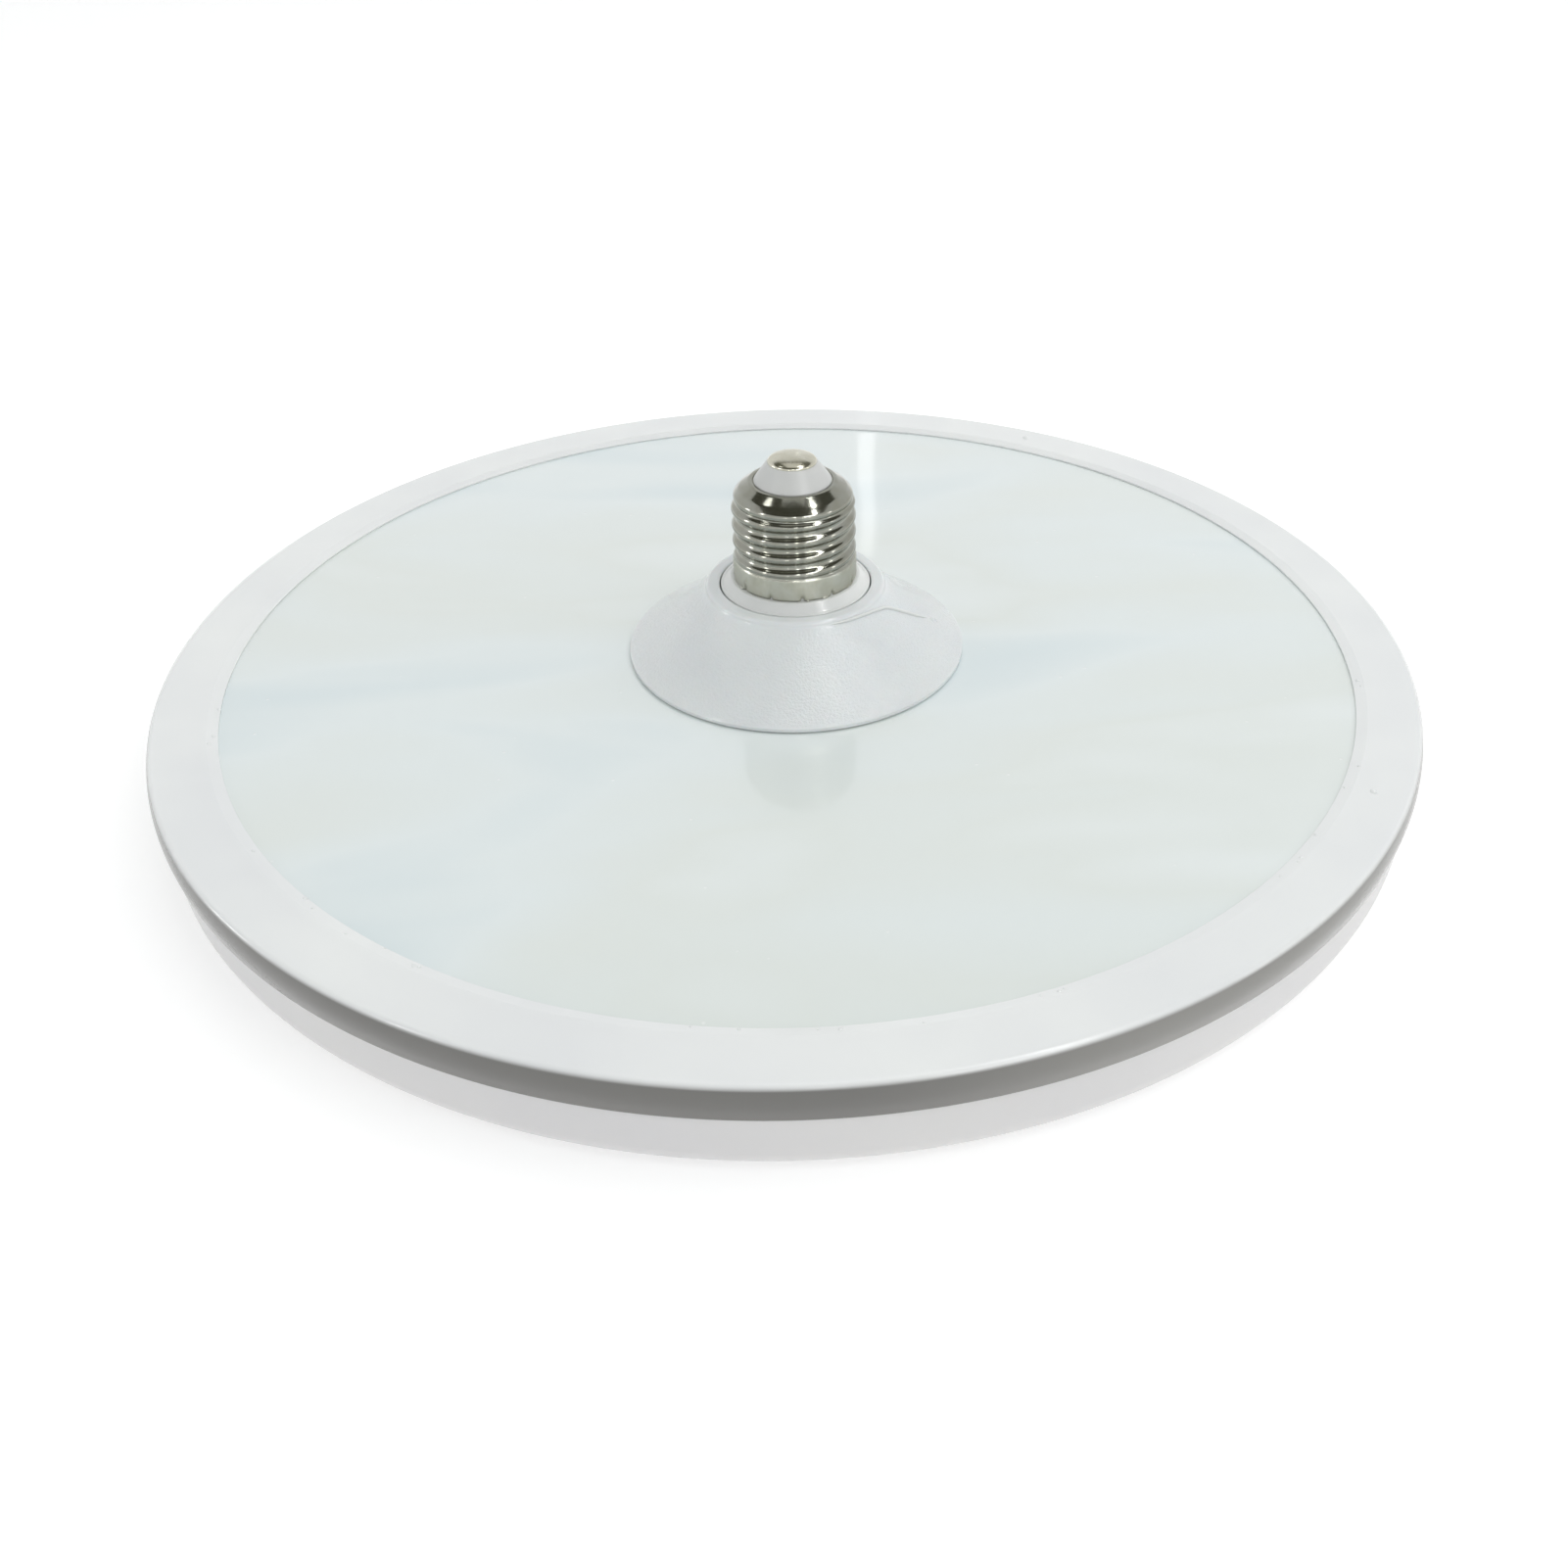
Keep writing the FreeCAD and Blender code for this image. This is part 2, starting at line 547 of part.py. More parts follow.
# Neck cup: flanged tube with a sloping collar, a spigot for the cap and rails for the driver board
def make_neck_cup():
    body = new_body("neck_cup")
    turned(body, "cup", [
        ("cup_bore", "plate_top"),
        ("flange_radius", "plate_top"),
        ("flange_radius", "plate_top + flange_thick"),
        ("cup_radius", "plate_top + flange_thick"),
        ("cup_radius", "collar_low"),
        ("collar_edge", "cap_base"),
        ("spigot_low_radius", "cap_base"),
        ("spigot_low_radius", "skirt_top - clearance"),
        ("spigot_high_radius", "thread_low"),
        ("spigot_high_radius", "cap_base + spigot_height"),
        ("spigot_bore", "cap_base + spigot_height"),
        ("spigot_bore", "cap_base - cup_wall"),
        ("cup_bore", "collar_low - cup_wall"),
    ])
    bosses(body, "cup_screw_x", "cup_screw_y", "cup_boss_height", "cup_pilot_depth")
    sketch = new_sketch(body, "rail_outline", "XY_Plane", "plate_top")
    near = "board_face + fit_gap"
    outline(sketch, [
        ("cup_bore - rail_depth", near),
        ("cup_bore + cup_wall / 2", near),
        ("cup_bore + cup_wall / 2", f"{near} + rail_thick"),
        ("cup_bore - rail_depth", f"{near} + rail_thick"),
    ])
    rail = pad(body, "rail", sketch, "rail_height")
    mirrored(body, "rail_pair", rail, "XZ_Plane")
    sketch = new_sketch(body, "far_rail_outline", "XY_Plane", "plate_top")
    outline(sketch, [
        ("-(cup_bore - rail_depth)", near),
        ("-(cup_bore - rail_depth)", f"{near} + rail_thick"),
        ("-(cup_bore + cup_wall / 2)", f"{near} + rail_thick"),
        ("-(cup_bore + cup_wall / 2)", near),
    ])
    rail = pad(body, "far_rail", sketch, "rail_height")
    mirrored(body, "far_rail_pair", rail, "XZ_Plane")
    return body


def mirrored(body, name, feature, role):
    pattern = body.newObject("PartDesign::Mirrored", name)
    pattern.Originals = [feature]
    plane = next(f for f in body.Origin.OriginFeatures if f.Role == role)
    pattern.MirrorPlane = (plane, [""])
    body.Tip = pattern
    doc.recompute()
    return pattern


def thread_ridge(body, name, level):
    """One tooth of the rolled thread: crest and two roots, each round stretch as three chords.

    Crest and root are arcs of one radius that touch each other, so the angle of the flank at the
    touching point follows from the pitch and the depth."""
    pitch, depth, bend = size("thread_pitch"), size("thread_depth"), size("thread_round")
    flank = math.atan2(pitch / 2, 2 * bend - depth)
    foot = math.acos(1 - (size("root_wall") - size("thread_root")) / bend)
    third = math.degrees(flank / 3)
    root_swings = [math.degrees(angle) for angle in (foot, (foot + flank) / 2, flank)]
    lower = [
        (f"thread_root + thread_round * (1 - cos({swing}))",
         f"-thread_pitch / 2 + thread_round * sin({swing})")
        for swing in root_swings
    ]
    crest = [
        (f"thread_crest - thread_round * (1 - cos({swing}))", f"thread_round * sin({swing})")
        for swing in (-third, third)
    ]
    upper = [(radius, f"-({height})") for radius, height in reversed(lower)]
    profile = lower + crest + upper
    buried = "root_wall - shell_wall / 2"
    corners = [(buried, lower[0][1])] + profile + [(buried, upper[-1][1])]
    sketch = new_sketch(body, name + "_outline", "XZ_Plane")
    outline(sketch, [(radius, f"{level} + {height}") for radius, height in corners])
    return sketch


def helix(body, name, sketch, turns, lean="0"):
    """Carry a tooth up a right-handed screw line; a lean in degrees draws it in towards the axis."""
    feature = body.newObject("PartDesign::AdditiveHelix", name)
    feature.Profile = sketch
    feature.ReferenceAxis = (sketch, ["V_Axis"])
    feature.Mode = "pitch-turns-angle"
    bind(feature, Pitch="thread_pitch", Turns=turns, Angle=lean)
    doc.recompute()
    return feature


# Screw shell: thin sheet cap with plain skirt, E27 thread that runs out into a rounded shoulder
def make_screw_shell():
    body = new_body("screw_shell")
    turned(body, "blank", [
        ("mouth_radius", "cap_base"),
        ("skirt_radius", "cap_base"),
        ("skirt_radius", "skirt_top"),
        ("root_wall", "thread_low"),
        ("root_wall", "thread_high"),
        ("shoulder_radius", "shoulder_level", ("shoulder_round", -1)),
        ("mouth_radius", "shell_top"),
    ])
    helix(body, "thread", thread_ridge(body, "thread", "first_crest"), "thread_turns")
    last_crest = "first_crest + thread_turns * thread_pitch"
    helix(body, "run_out", thread_ridge(body, "run_out", last_crest), "run_out_turns", "-run_out_lean")
    sketch = new_sketch(body, "hollow_outline", "XZ_Plane")
    outline(sketch, [
        ("mouth_radius / 2", "cap_base - clearance"),
        ("skirt_inner", "cap_base - clearance"),
        ("skirt_inner", "skirt_top"),
        ("root_wall - shell_wall", "thread_low"),
        ("root_wall - shell_wall", "thread_high"),
        ("shoulder_radius - shell_wall", "shoulder_level"),
        ("vault_radius", "vault_height"),
        ("mouth_radius", "shell_top - shell_wall"),
        ("mouth_radius / 2", "shell_top - shell_wall"),
    ])
    before = body.Shape.Volume
    hollow = body.newObject("PartDesign::Groove", "hollow")
    hollow.Profile = sketch
    hollow.ReferenceAxis = (sketch, ["V_Axis"])
    hollow.Angle = 360
    doc.recompute()
    if not hollow.Shape.Volume < before / 2:
        raise RuntimeError("the shell wasn't hollowed")
    return body


# Insulator: grey cone through the shell's mouth, held by a flange inside
def make_cap_insulator():
    body = new_body("cap_insulator")
    bore = "stem_radius + fit_gap"
    turned(body, "insulator", [
        (bore, "shell_top - insulator_seat - insulator_flange_thick"),
        ("insulator_flange", "shell_top - insulator_seat - insulator_flange_thick"),
        ("insulator_flange", "shell_top - insulator_seat"),
        ("insulator_radius", "shell_top - 2 * clearance"),
        ("insulator_radius", "shell_top"),
        ("insulator_tip", "insulator_top"),
        (bore, "insulator_top"),
    ])
    return body


# Centre contact: domed button with a stem through the insulator
def make_centre_contact():
    body = new_body("centre_contact")
    turned(body, "contact", [
        ("0", "stem_bottom"),
        ("stem_radius", "stem_bottom"),
        ("stem_radius", "insulator_top"),
        ("contact_radius", "insulator_top"),
        ("contact_radius", "insulator_top + contact_edge", ("dome_round", -1)),
        ("0", "insulator_top + contact_edge + contact_dome"),
    ])
    return body


# LED board: round metal-core board flat against the underside of the back plate
def make_led_board():
    body = new_body("led_board")
    sketch = new_sketch(body, "board_circles", "XY_Plane", "led_board_bottom")
    circle(sketch, "0", "0", "led_board_radius")
    circle(sketch, "0", "0", "led_board_bore")
    pad(body, "board", sketch, "led_board_thick")
    screw_holes(body, "led_board_bottom", "led_board_thick")
    return body


# LED packages: rings of small blocks under the board, longer along the ring than across it
def make_led_chips():
    length, width, thick = size("led_length"), size("led_width"), size("led_thick")
    level = size("led_board_bottom - led_thick")
    chips = []
    for ring in range(int(size("led_ring_count"))):
        radius = size("led_ring_first") + ring * size("led_ring_step")
        count = int(size("led_first_count") + ring * size("led_extra_count"))
        chip = Part.makeBox(width, length, thick, Vector(radius - width / 2, -length / 2, level))
        chips += turned_copies(chip, count, 180.0 / count)
    return plain_part("led_chips", Part.makeCompound(chips))


# Screws: pan heads under the LED board, shanks up into the bosses
def make_screws(label, circle_radius, length, first_share):
    """Screws in a circle; the first stands at a share of one step from +X."""
    form = new_body("one_of_" + label)
    seat = "led_board_bottom"
    turned(form, "screw_" + label, [
        ("0", f"{seat} - screw_head_height + screw_recess_depth"),
        ("screw_recess_radius", f"{seat} - screw_head_height + screw_recess_depth"),
        ("screw_recess_radius", f"{seat} - screw_head_height"),
        ("screw_head_radius", f"{seat} - screw_head_height"),
        ("screw_head_radius", seat),
        ("screw_radius", seat),
        ("screw_radius", f"{seat} + {length}"),
        ("0", f"{seat} + {length}"),
    ])
    screw = form.Shape.copy()
    screw.translate(Vector(size(circle_radius), 0, 0))
    count = int(size("screw_count"))
    return plain_part(label, Part.makeCompound(turned_copies(screw, count, first_share * 360.0 / count)))


# Driver board: upright, wide between the cup's rails and narrow inside the cap
def make_driver_board():
    body = new_body("driver_board")
    sketch = new_sketch(body, "board_outline", "XZ_Plane")
    low, high = "board_low_width / 2", "board_high_width / 2"
    outline(sketch, [
        (f"-{low}", "board_bottom"),
        (low, "board_bottom"),
        (low, "board_step"),
        (high, "board_step"),
        (high, "board_top"),
        (f"-{high}", "board_top"),
        (f"-{high}", "board_step"),
        (f"-{low}", "board_step"),
    ])
    board = body.newObject("PartDesign::Pad", "laminate")
    board.Profile = sketch
    board.Midplane = True
    bind(board, Length="board_thick")
    doc.recompute()
    return body


def make_bulk_capacitor():
    body = new_body("bulk_capacitor")
    turned(body, "can", [
        ("0", "0"),
        ("capacitor_radius", "0"),
        ("capacitor_radius", "capacitor_crimp_level"),
        ("capacitor_radius - capacitor_crimp", "capacitor_crimp_level + capacitor_crimp"),
        ("capacitor_radius", "capacitor_crimp_level + 2 * capacitor_crimp"),
        ("capacitor_radius", "capacitor_length"),
        ("0", "capacitor_length"),
    ])
    put(body, "0", "board_face + fit_gap + capacitor_radius", "board_step + capacitor_lift")
    return body


ACROSS = FreeCAD.Rotation(Vector(1, 0, 0), -90)


def make_choke():
    body = new_body("choke")
    turned(body, "core", [
        ("0", "0"),
        ("choke_radius", "0"),
        ("choke_radius", "choke_flange"),
        ("choke_core_radius", "choke_flange"),
        ("choke_core_radius", "choke_length - choke_flange"),
        ("choke_radius", "choke_length - choke_flange"),
        ("choke_radius", "choke_length"),
        ("0", "choke_length"),
    ])
    put(body, "board_low_width / 2 - choke_radius - choke_inset", "board_face",
        "board_step - choke_radius - part_gap", ACROSS)
    return body


def make_varistor():
    body = new_body("varistor")
    turned(body, "disc", [
        ("0", "0"),
        ("varistor_radius - varistor_round", "0"),
        ("varistor_radius", "varistor_round"),
        ("varistor_radius", "varistor_thick - varistor_round"),
        ("varistor_radius - varistor_round", "varistor_thick"),
        ("0", "varistor_thick"),
    ])
    put(body, "board_high_width / 2 - varistor_radius - part_gap", "-board_face - varistor_thick",
        "board_step + 2 * varistor_radius", ACROSS)
    return body


def make_fuse_resistor():
    body = new_body("fuse_resistor")
    turned(body, "bone", [
        ("0", "0"),
        ("fuse_radius", "0"),
        ("fuse_radius", "fuse_cap_length"),
        ("fuse_waist", "fuse_cap_length + fuse_slope"),
        ("fuse_waist", "fuse_length - fuse_cap_length - fuse_slope"),
        ("fuse_radius", "fuse_length - fuse_cap_length"),
        ("fuse_radius", "fuse_length"),
        ("0", "fuse_length"),
    ])
    put(body, "-board_high_width / 2 + fuse_radius + fuse_inset",
        "-board_face - fit_gap - fuse_radius", "board_step + fuse_lift")
    return body


def block(label, width, thick, height, x, y, z):
    """A small moulded block: width along X, thickness along Y, height along Z."""
    box = doc.addObject("Part::Box", label)
    box.Label = label
    bind(box, Length=width, Width=thick, Height=height)
    put(box, x, y, z)
    return box


def make_blocks():
    return [
        block("bridge_rectifier", "rectifier_width", "rectifier_thick", "rectifier_height",
              "-board_low_width / 4 - rectifier_width / 2", "board_face",
              "board_step - rectifier_height - chip_drop"),
        block("driver_chip", "chip_width", "chip_thick", "chip_height",
              "-chip_width / 2", "-board_face - chip_thick",
              "board_step - chip_height - chip_drop"),
        block("lead_connector", "connector_width", "connector_length", "connector_height",
              "-connector_width / 2", "connector_distance", "led_board_bottom - connector_height"),
    ]


def wire(label, points, radius, bend):
    """A round wire along straight runs joined by tangent arcs of one bend radius."""
    path, start = [], points[0]
    length = 0.0
    for before, corner, after in zip(points, points[1:], points[2:]):
        into = (corner - before).normalize()
        out = (after - corner).normalize()
        half_turn = into.getAngle(out) / 2
        trim = bend * math.tan(half_turn)
        first, last = corner - into * trim, corner + out * trim
        inward = (out - into).normalize()
        middle = corner + inward * (bend / math.cos(half_turn) - bend)
        path.append(Part.LineSegment(start, first).toShape())
        path.append(Part.Arc(first, middle, last).toShape())
        length += (first - start).Length + 2 * half_turn * bend
        start = last
    path.append(Part.LineSegment(start, points[-1]).toShape())
    length += (points[-1] - start).Length
    section = Part.Wire(Part.Circle(points[0], points[1] - points[0], radius).toShape())
    tube = Part.Wire(path).makePipeShell([section], True, True)
    expected = math.pi * radius ** 2 * length
    print(f"{label}: {length:.1f} mm, volume {tube.Volume / expected:.4f} of section times length")
    return plain_part(label, tube)


def make_wires():
    mains, mains_bend = size("mains_wire_radius"), size("mains_wire_bend")
    lead, lead_bend = size("lead_radius"), size("lead_bend")
    face = size("board_face + fit_gap")
    beside = face + mains
    stem_bottom, board_top = size("stem_bottom"), size("board_top")
    offset, level = size("live_wire_offset"), (board_top + stem_bottom) / 2
    wires = [wire("live_wire", [
        Vector(offset, beside, board_top - size("live_wire_start")),
        Vector(offset, beside, level),
        Vector(0, 0, level),
        Vector(0, 0, stem_bottom),
    ], mains, mains_bend)]
    rim = size("cap_base + spigot_height")
    over = rim + size("clearance") + mains_bend
    edge = size("(spigot_high_radius + root_wall - shell_wall) / 2")
    outer = math.sqrt(edge ** 2 - beside ** 2)
    near = size("board_high_width / 2 - neutral_wire_inset")
    wires.append(wire("neutral_wire", [
        Vector(-near, -beside, rim - size("neutral_wire_start")),
        Vector(-near, -beside, over),
        Vector(-outer, -beside, over),
        Vector(-outer, -beside, rim - size("neutral_wire_hook")),
    ], mains, mains_bend))
    for label, side in (("positive_lead", 1), ("negative_lead", -1)):
        x = side * size("lead_spacing") / 2
        wires.append(wire(label, [
            Vector(x, face + lead, size("board_bottom + lead_start")),
            Vector(x, face + lead, size("lead_level")),
            Vector(x, size("connector_distance"), size("lead_level")),
        ], lead, lead_bend))
    return wires


parts = [
    make_diffuser(),
    make_rim_ring(),
    make_back_plate(),
    make_cone_cover(),
    make_neck_cup(),
    make_screw_shell(),
    make_cap_insulator(),
    make_centre_contact(),
    make_led_board(),
    make_led_chips(),
    make_screws("cup_screws", "cup_screw_circle", "cup_screw_length", 0.5),
    make_screws("cone_screws", "cone_screw_circle", "cone_screw_length", 0.0),
    make_driver_board(),
    make_bulk_capacitor(),
    make_choke(),
    make_varistor(),
    make_fuse_resistor(),
    *make_blocks(),
    *make_wires(),
]
doc.recompute()

failed = [thing.Name for thing in doc.Objects if {"Invalid", "Error"} & set(thing.State)]
if failed:
    raise RuntimeError("failed features: " + ", ".join(failed))
for part in parts:
    if part.Shape.isNull() or not part.Shape.isValid():
        raise RuntimeError("bad shape: " + part.Label)

os.makedirs("parts", exist_ok=True)
for part in parts:
    part.Shape.exportStep(os.path.join("parts", part.Label + ".step"))
print(len(parts), "pieces written")
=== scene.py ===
"""LED disc lamp with an E27 screw cap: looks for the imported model.

Metres, +Z up, the origin at the centre of the diffuser's underside, the lamp's axis on Z.
"""

import math

import bmesh
import bpy
import numpy as np
from bpy.props import FloatProperty, FloatVectorProperty, IntProperty
from mathutils import Matrix, Vector


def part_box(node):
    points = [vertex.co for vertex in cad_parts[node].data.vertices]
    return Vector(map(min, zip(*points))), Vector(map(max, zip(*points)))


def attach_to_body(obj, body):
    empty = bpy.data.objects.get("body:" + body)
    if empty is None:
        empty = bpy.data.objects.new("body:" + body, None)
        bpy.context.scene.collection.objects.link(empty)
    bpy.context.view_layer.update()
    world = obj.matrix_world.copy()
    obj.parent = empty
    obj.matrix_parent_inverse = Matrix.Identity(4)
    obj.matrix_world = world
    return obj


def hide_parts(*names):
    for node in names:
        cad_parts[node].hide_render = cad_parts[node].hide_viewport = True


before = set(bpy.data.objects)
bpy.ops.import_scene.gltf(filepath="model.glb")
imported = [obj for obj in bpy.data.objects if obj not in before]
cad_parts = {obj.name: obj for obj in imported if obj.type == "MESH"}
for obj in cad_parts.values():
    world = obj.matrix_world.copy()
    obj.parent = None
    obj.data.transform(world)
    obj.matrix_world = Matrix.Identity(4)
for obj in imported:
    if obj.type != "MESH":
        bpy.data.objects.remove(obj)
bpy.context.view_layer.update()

bl_info = {
    "name": "LED Disc Lamp",
    "version": (1, 0, 0),
    "blender": (4, 5, 0),
    "location": "View3D > Sidebar > Disc Lamp",
    "description": "Builds the surfaces, finishes and stage of an LED disc lamp",
    "category": "Object",
}

MM = 0.001
IMAGE_SIZE = 1601


def srgb(code):
    """A colour given as an sRGB hex code, as linear red, green, blue and alpha."""
    values = np.array([int(code[i:i + 2], 16) for i in (1, 3, 5)]) / 255
    linear = np.where(values <= 0.04045, values / 12.92, ((values + 0.055) / 1.055) ** 2.4)
    return (*linear.tolist(), 1.0)


def length(name, millimetres, description):
    """A property that holds a length, given in millimetres and kept in metres."""
    return FloatProperty(
        name=name, description=description, default=millimetres * MM, unit="LENGTH", precision=5)


def angle(name, degrees, description):
    """A property that holds an angle, given in degrees."""
    return FloatProperty(
        name=name, description=description, default=math.radians(degrees), subtype="ANGLE")


def colour(name, code, description):
    """A property that holds a colour, given as an sRGB hex code."""
    return FloatVectorProperty(
        name=name, description=description, default=srgb(code)[:3], subtype="COLOR",
        size=3, min=0.0, max=1.0)


def node_top(name):
    """Height of a CAD node's highest point in millimetres."""
    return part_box(name)[1].z / MM


def node_bottom(name):
    """Height of a CAD node's lowest point in millimetres."""
    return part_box(name)[0].z / MM


# Sizes and colours that a user would change


class DiscSizes(bpy.types.PropertyGroup):
    """Rim, plate and diffuser."""
    rim_radius: length("Rim radius", 135.25, "Outside of the rim before its wall is rounded")
    rim_top: length("Rim top", node_top("rim_ring"), "Height of the rim's top band")
    rim_bottom: length("Rim bottom", node_bottom("rim_ring"), "Lower edge of the rim's wall")
    edge_round: length("Edge rounding", 1.1, "Rounding of the rim's outer top edge")
    edge_lean: length("Edge lean", 1.1, "How far the top of the outer wall leans in")
    edge_depth: length("Edge depth", 3.0, "How far down that lean goes")
    rim_taper: length("Rim taper", 0.65, "How far the outer wall leans in over its height")
    edge_bow: length("Edge bow", 9.0, "Rounding between the outer wall and its lean")
    rim_wall: length("Rim wall", 1.55, "Thickness of the rim's wall")
    lip_radius: length("Lip radius", 121.1, "Inner edge of the rim's bevel")
    bevel_width: length("Bevel width", 2.2, "Width of the bevel down to the plate")
    lip_foot: length("Lip foot", 0.5, "Upright inner edge of the bevel above the plate")
    diffuser_radius: length("Diffuser radius", 134.0, "Outside of the diffuser")
    diffuser_round: length("Diffuser rounding", 5.0, "Rounding of the diffuser's lower edge")
    rim_colour: colour("Rim colour", "#EEF0EF", "Moulded white of the rim")
    # Painted shade: the rim's outer wall is the same white moulding, and these two greys stand for
    # the shade it sits in, lighter to the right where more light falls
    wall_painted_shade: colour("Wall colour", "#6B6A67", "Grey of the rim's outer wall on the left")
    wall_right_painted_shade: colour("Wall right colour", "#84837F", "Grey of the outer wall on the right")
    plate_colour: colour("Plate colour", "#EAF0F0", "Gloss coat of the back plate")
    diffuser_colour: colour("Diffuser colour", "#D8D7D6", "Milky plastic of the diffuser")


class ConeSizes(bpy.types.PropertyGroup):
    """Cone cover."""
    foot_radius: length("Foot radius", 36.75, "Outside of the cone's foot")
    foot_edge: length("Foot edge", 1.1, "Height of the upright foot edge")
    lip_radius: length("Lip radius", 19.4, "Outside of the rounded lip")
    lip_round: length("Lip rounding", 0.9, "Rounding of the lip")
    bore_radius: length("Bore radius", 16.4, "Inside of the lip")
    flare_radius: length("Flare radius", 62.0, "Radius of the hollow side")
    wall: length("Wall", 1.6, "Thickness of the cover")
    seam_depth: length("Seam depth", 0.5, "Height of the fine moulding line")
    seam_width: length("Seam width", 0.8, "Width of the fine moulding line")
    colour: colour("Cone colour", "#E0E4E4", "Fine-grained moulded white")


class CapSizes(bpy.types.PropertyGroup):
    """E27 screw cap."""
    base: length("Cap base", node_bottom("screw_shell"), "Height of the skirt's lower edge")
    top: length("Shell top", node_top("screw_shell"), "Height of the shell's mouth")
    skirt_radius: length("Skirt radius", 13.2, "Outside of the plain skirt")
    skirt_height: length("Skirt height", 4.4, "Height of the plain skirt")
    crest_radius: length("Crest radius", 13.12, "Crest of the rolled thread")
    thread_depth: length("Thread depth", 1.095, "Crest to root")
    pitch: length("Pitch", 3.629, "Rise of the thread in one turn")
    first_crest: length("First crest", 3.1, "First crest above the skirt's edge, at +X")
    shoulder_radius: length("Shoulder radius", 12.65, "Widest part of the shoulder")
    shoulder_level: length("Shoulder level", 18.3, "Shoulder's widest part above the skirt's edge")
    mouth_radius: length("Mouth radius", 8.3, "Opening at the shell's top")
    sheet: length("Sheet", 0.3, "Thickness of the shell's sheet")
    crimps: IntProperty(name="Crimps", description="Punch marks round the skirt", default=12)
    crimp_angle: angle("Crimp angle", -54.0, "Place of one punch mark")
    metal_colour: colour("Metal colour", "#9E9F97", "Nickel plate")
    contact_colour: colour("Contact colour", "#D6D4C6", "Nickel plate of the centre contact")
    insulator_colour: colour("Insulator colour", "#CACBC9", "Light grey moulding")


class StageSettings(bpy.types.PropertyGroup):
    """Camera and light."""
    camera_back: length("Camera distance", 294.77, "Camera's distance from the axis")
    camera_height: length("Camera height", 191.38, "Camera's height above the floor")
    yaw: angle("Yaw", 4.18, "How far the camera looks to the right of the axis")
    pitch: angle("Pitch", 35.80, "How far the camera looks down")
    roll: angle("Roll", 0.82, "How far the camera leans")
    focal_pixels: FloatProperty(
        name="Focal length", description="Focal length in pixels of the photograph", default=1553.0)
    centre_x: FloatProperty(
        name="Centre X", description="Optical centre in pixels from the left", default=910.38)
    centre_y: FloatProperty(
        name="Centre Y", description="Optical centre in pixels from the top", default=806.5)
    floor_colour: colour("Floor colour", "#E0E0E0", "Plain pale floor")
    table_glow: FloatProperty(
        name="Table glow", description="Light that the white table gives off", default=0.42)


# Surfaces


def rounded(corners, steps=7):
    """A closed outline in the (radius, height) plane, from corners (radius, height, rounding).

    Each corner becomes the arc that touches both of its sides: the touching points lie at
    rounding / tan(half the inner angle) from the corner, and points between them are mixed by
    sines of the swept angle, which keeps them on the circle."""
    corners = np.array(corners, float)
    points, rounding = corners[:, :2], corners[:, 2:]
    back = np.roll(points, 1, 0) - points
    forth = np.roll(points, -1, 0) - points
    back /= np.linalg.norm(back, axis=1, keepdims=True)
    forth /= np.linalg.norm(forth, axis=1, keepdims=True)
    half = np.arccos(np.clip((back * forth).sum(1, keepdims=True), -1, 1)) / 2
    middle = back + forth
    middle /= np.linalg.norm(middle, axis=1, keepdims=True)
    centre = points + middle * rounding / np.sin(half)
    start = points + back * rounding / np.tan(half) - centre
    end = points + forth * rounding / np.tan(half) - centre
    swing = (np.pi - 2 * half)[:, None]
    share = np.linspace(0, 1, steps)[None, :, None]
    arcs = (np.sin((1 - share) * swing) * start[:, None] + np.sin(share * swing) * end[:, None])
    arcs /= np.sin(swing)
    return (centre[:, None] + arcs).reshape(-1, 2)


def divided(outline, step):
    """The outline with extra points so that no straight stretch is longer than step."""
    following = np.roll(outline, -1, 0)
    gaps = np.linalg.norm(following - outline, axis=1)
    counts = np.maximum(1, np.ceil(gaps / step)).astype(int)
    place = np.repeat(np.arange(len(outline)), counts)
    first = np.repeat(np.cumsum(counts) - counts, counts)
    share = ((np.arange(counts.sum()) - first) / counts[place])[:, None]
    return outline[place] * (1 - share) + following[place] * share


def grid_faces(columns, rows, wrap_rows):
    """Corner numbers of the quads of a columns x rows grid whose columns close into a ring."""
    a = np.arange(columns)[:, None]
    b = np.arange(rows if wrap_rows else rows - 1)[None, :]
    a_next, b_next = (a + 1) % columns, (b + 1) % rows
    here, there = a * rows, a_next * rows
    return np.stack([here + b, there + b, there + b_next, here + b_next], -1).reshape(-1, 4)


def surface(name, grid, wrap_rows=True):
    """A mesh object from an array of points (columns, rows, 3), outward, seams and poles closed."""
    columns, rows = grid.shape[:2]
    mesh = bpy.data.meshes.new(name)
    faces = grid_faces(columns, rows, wrap_rows)
    mesh.vertices.add(columns * rows)
    mesh.vertices.foreach_set("co", grid.reshape(-1).astype(np.float32))
    mesh.loops.add(faces.size)
    mesh.loops.foreach_set("vertex_index", faces.reshape(-1).astype(np.int32))
    mesh.polygons.add(len(faces))
    mesh.polygons.foreach_set("loop_start", np.arange(0, faces.size, 4, dtype=np.int32))
    mesh.update(calc_edges=True)
    mesh.validate()
    return as_object(name, mesh)


def clustered(name, grids, wrap_rows=True):
    """One mesh object from an array of like closed grids (pieces, columns, rows, 3)."""
    count, columns, rows = grids.shape[:3]
    faces = grid_faces(columns, rows, wrap_rows)
    faces = (faces[None] + np.arange(count)[:, None, None] * columns * rows).reshape(-1, 4)
    mesh = bpy.data.meshes.new(name)
    mesh.from_pydata(grids.reshape(-1, 3).tolist(), [], faces.tolist())
    return as_object(name, mesh)


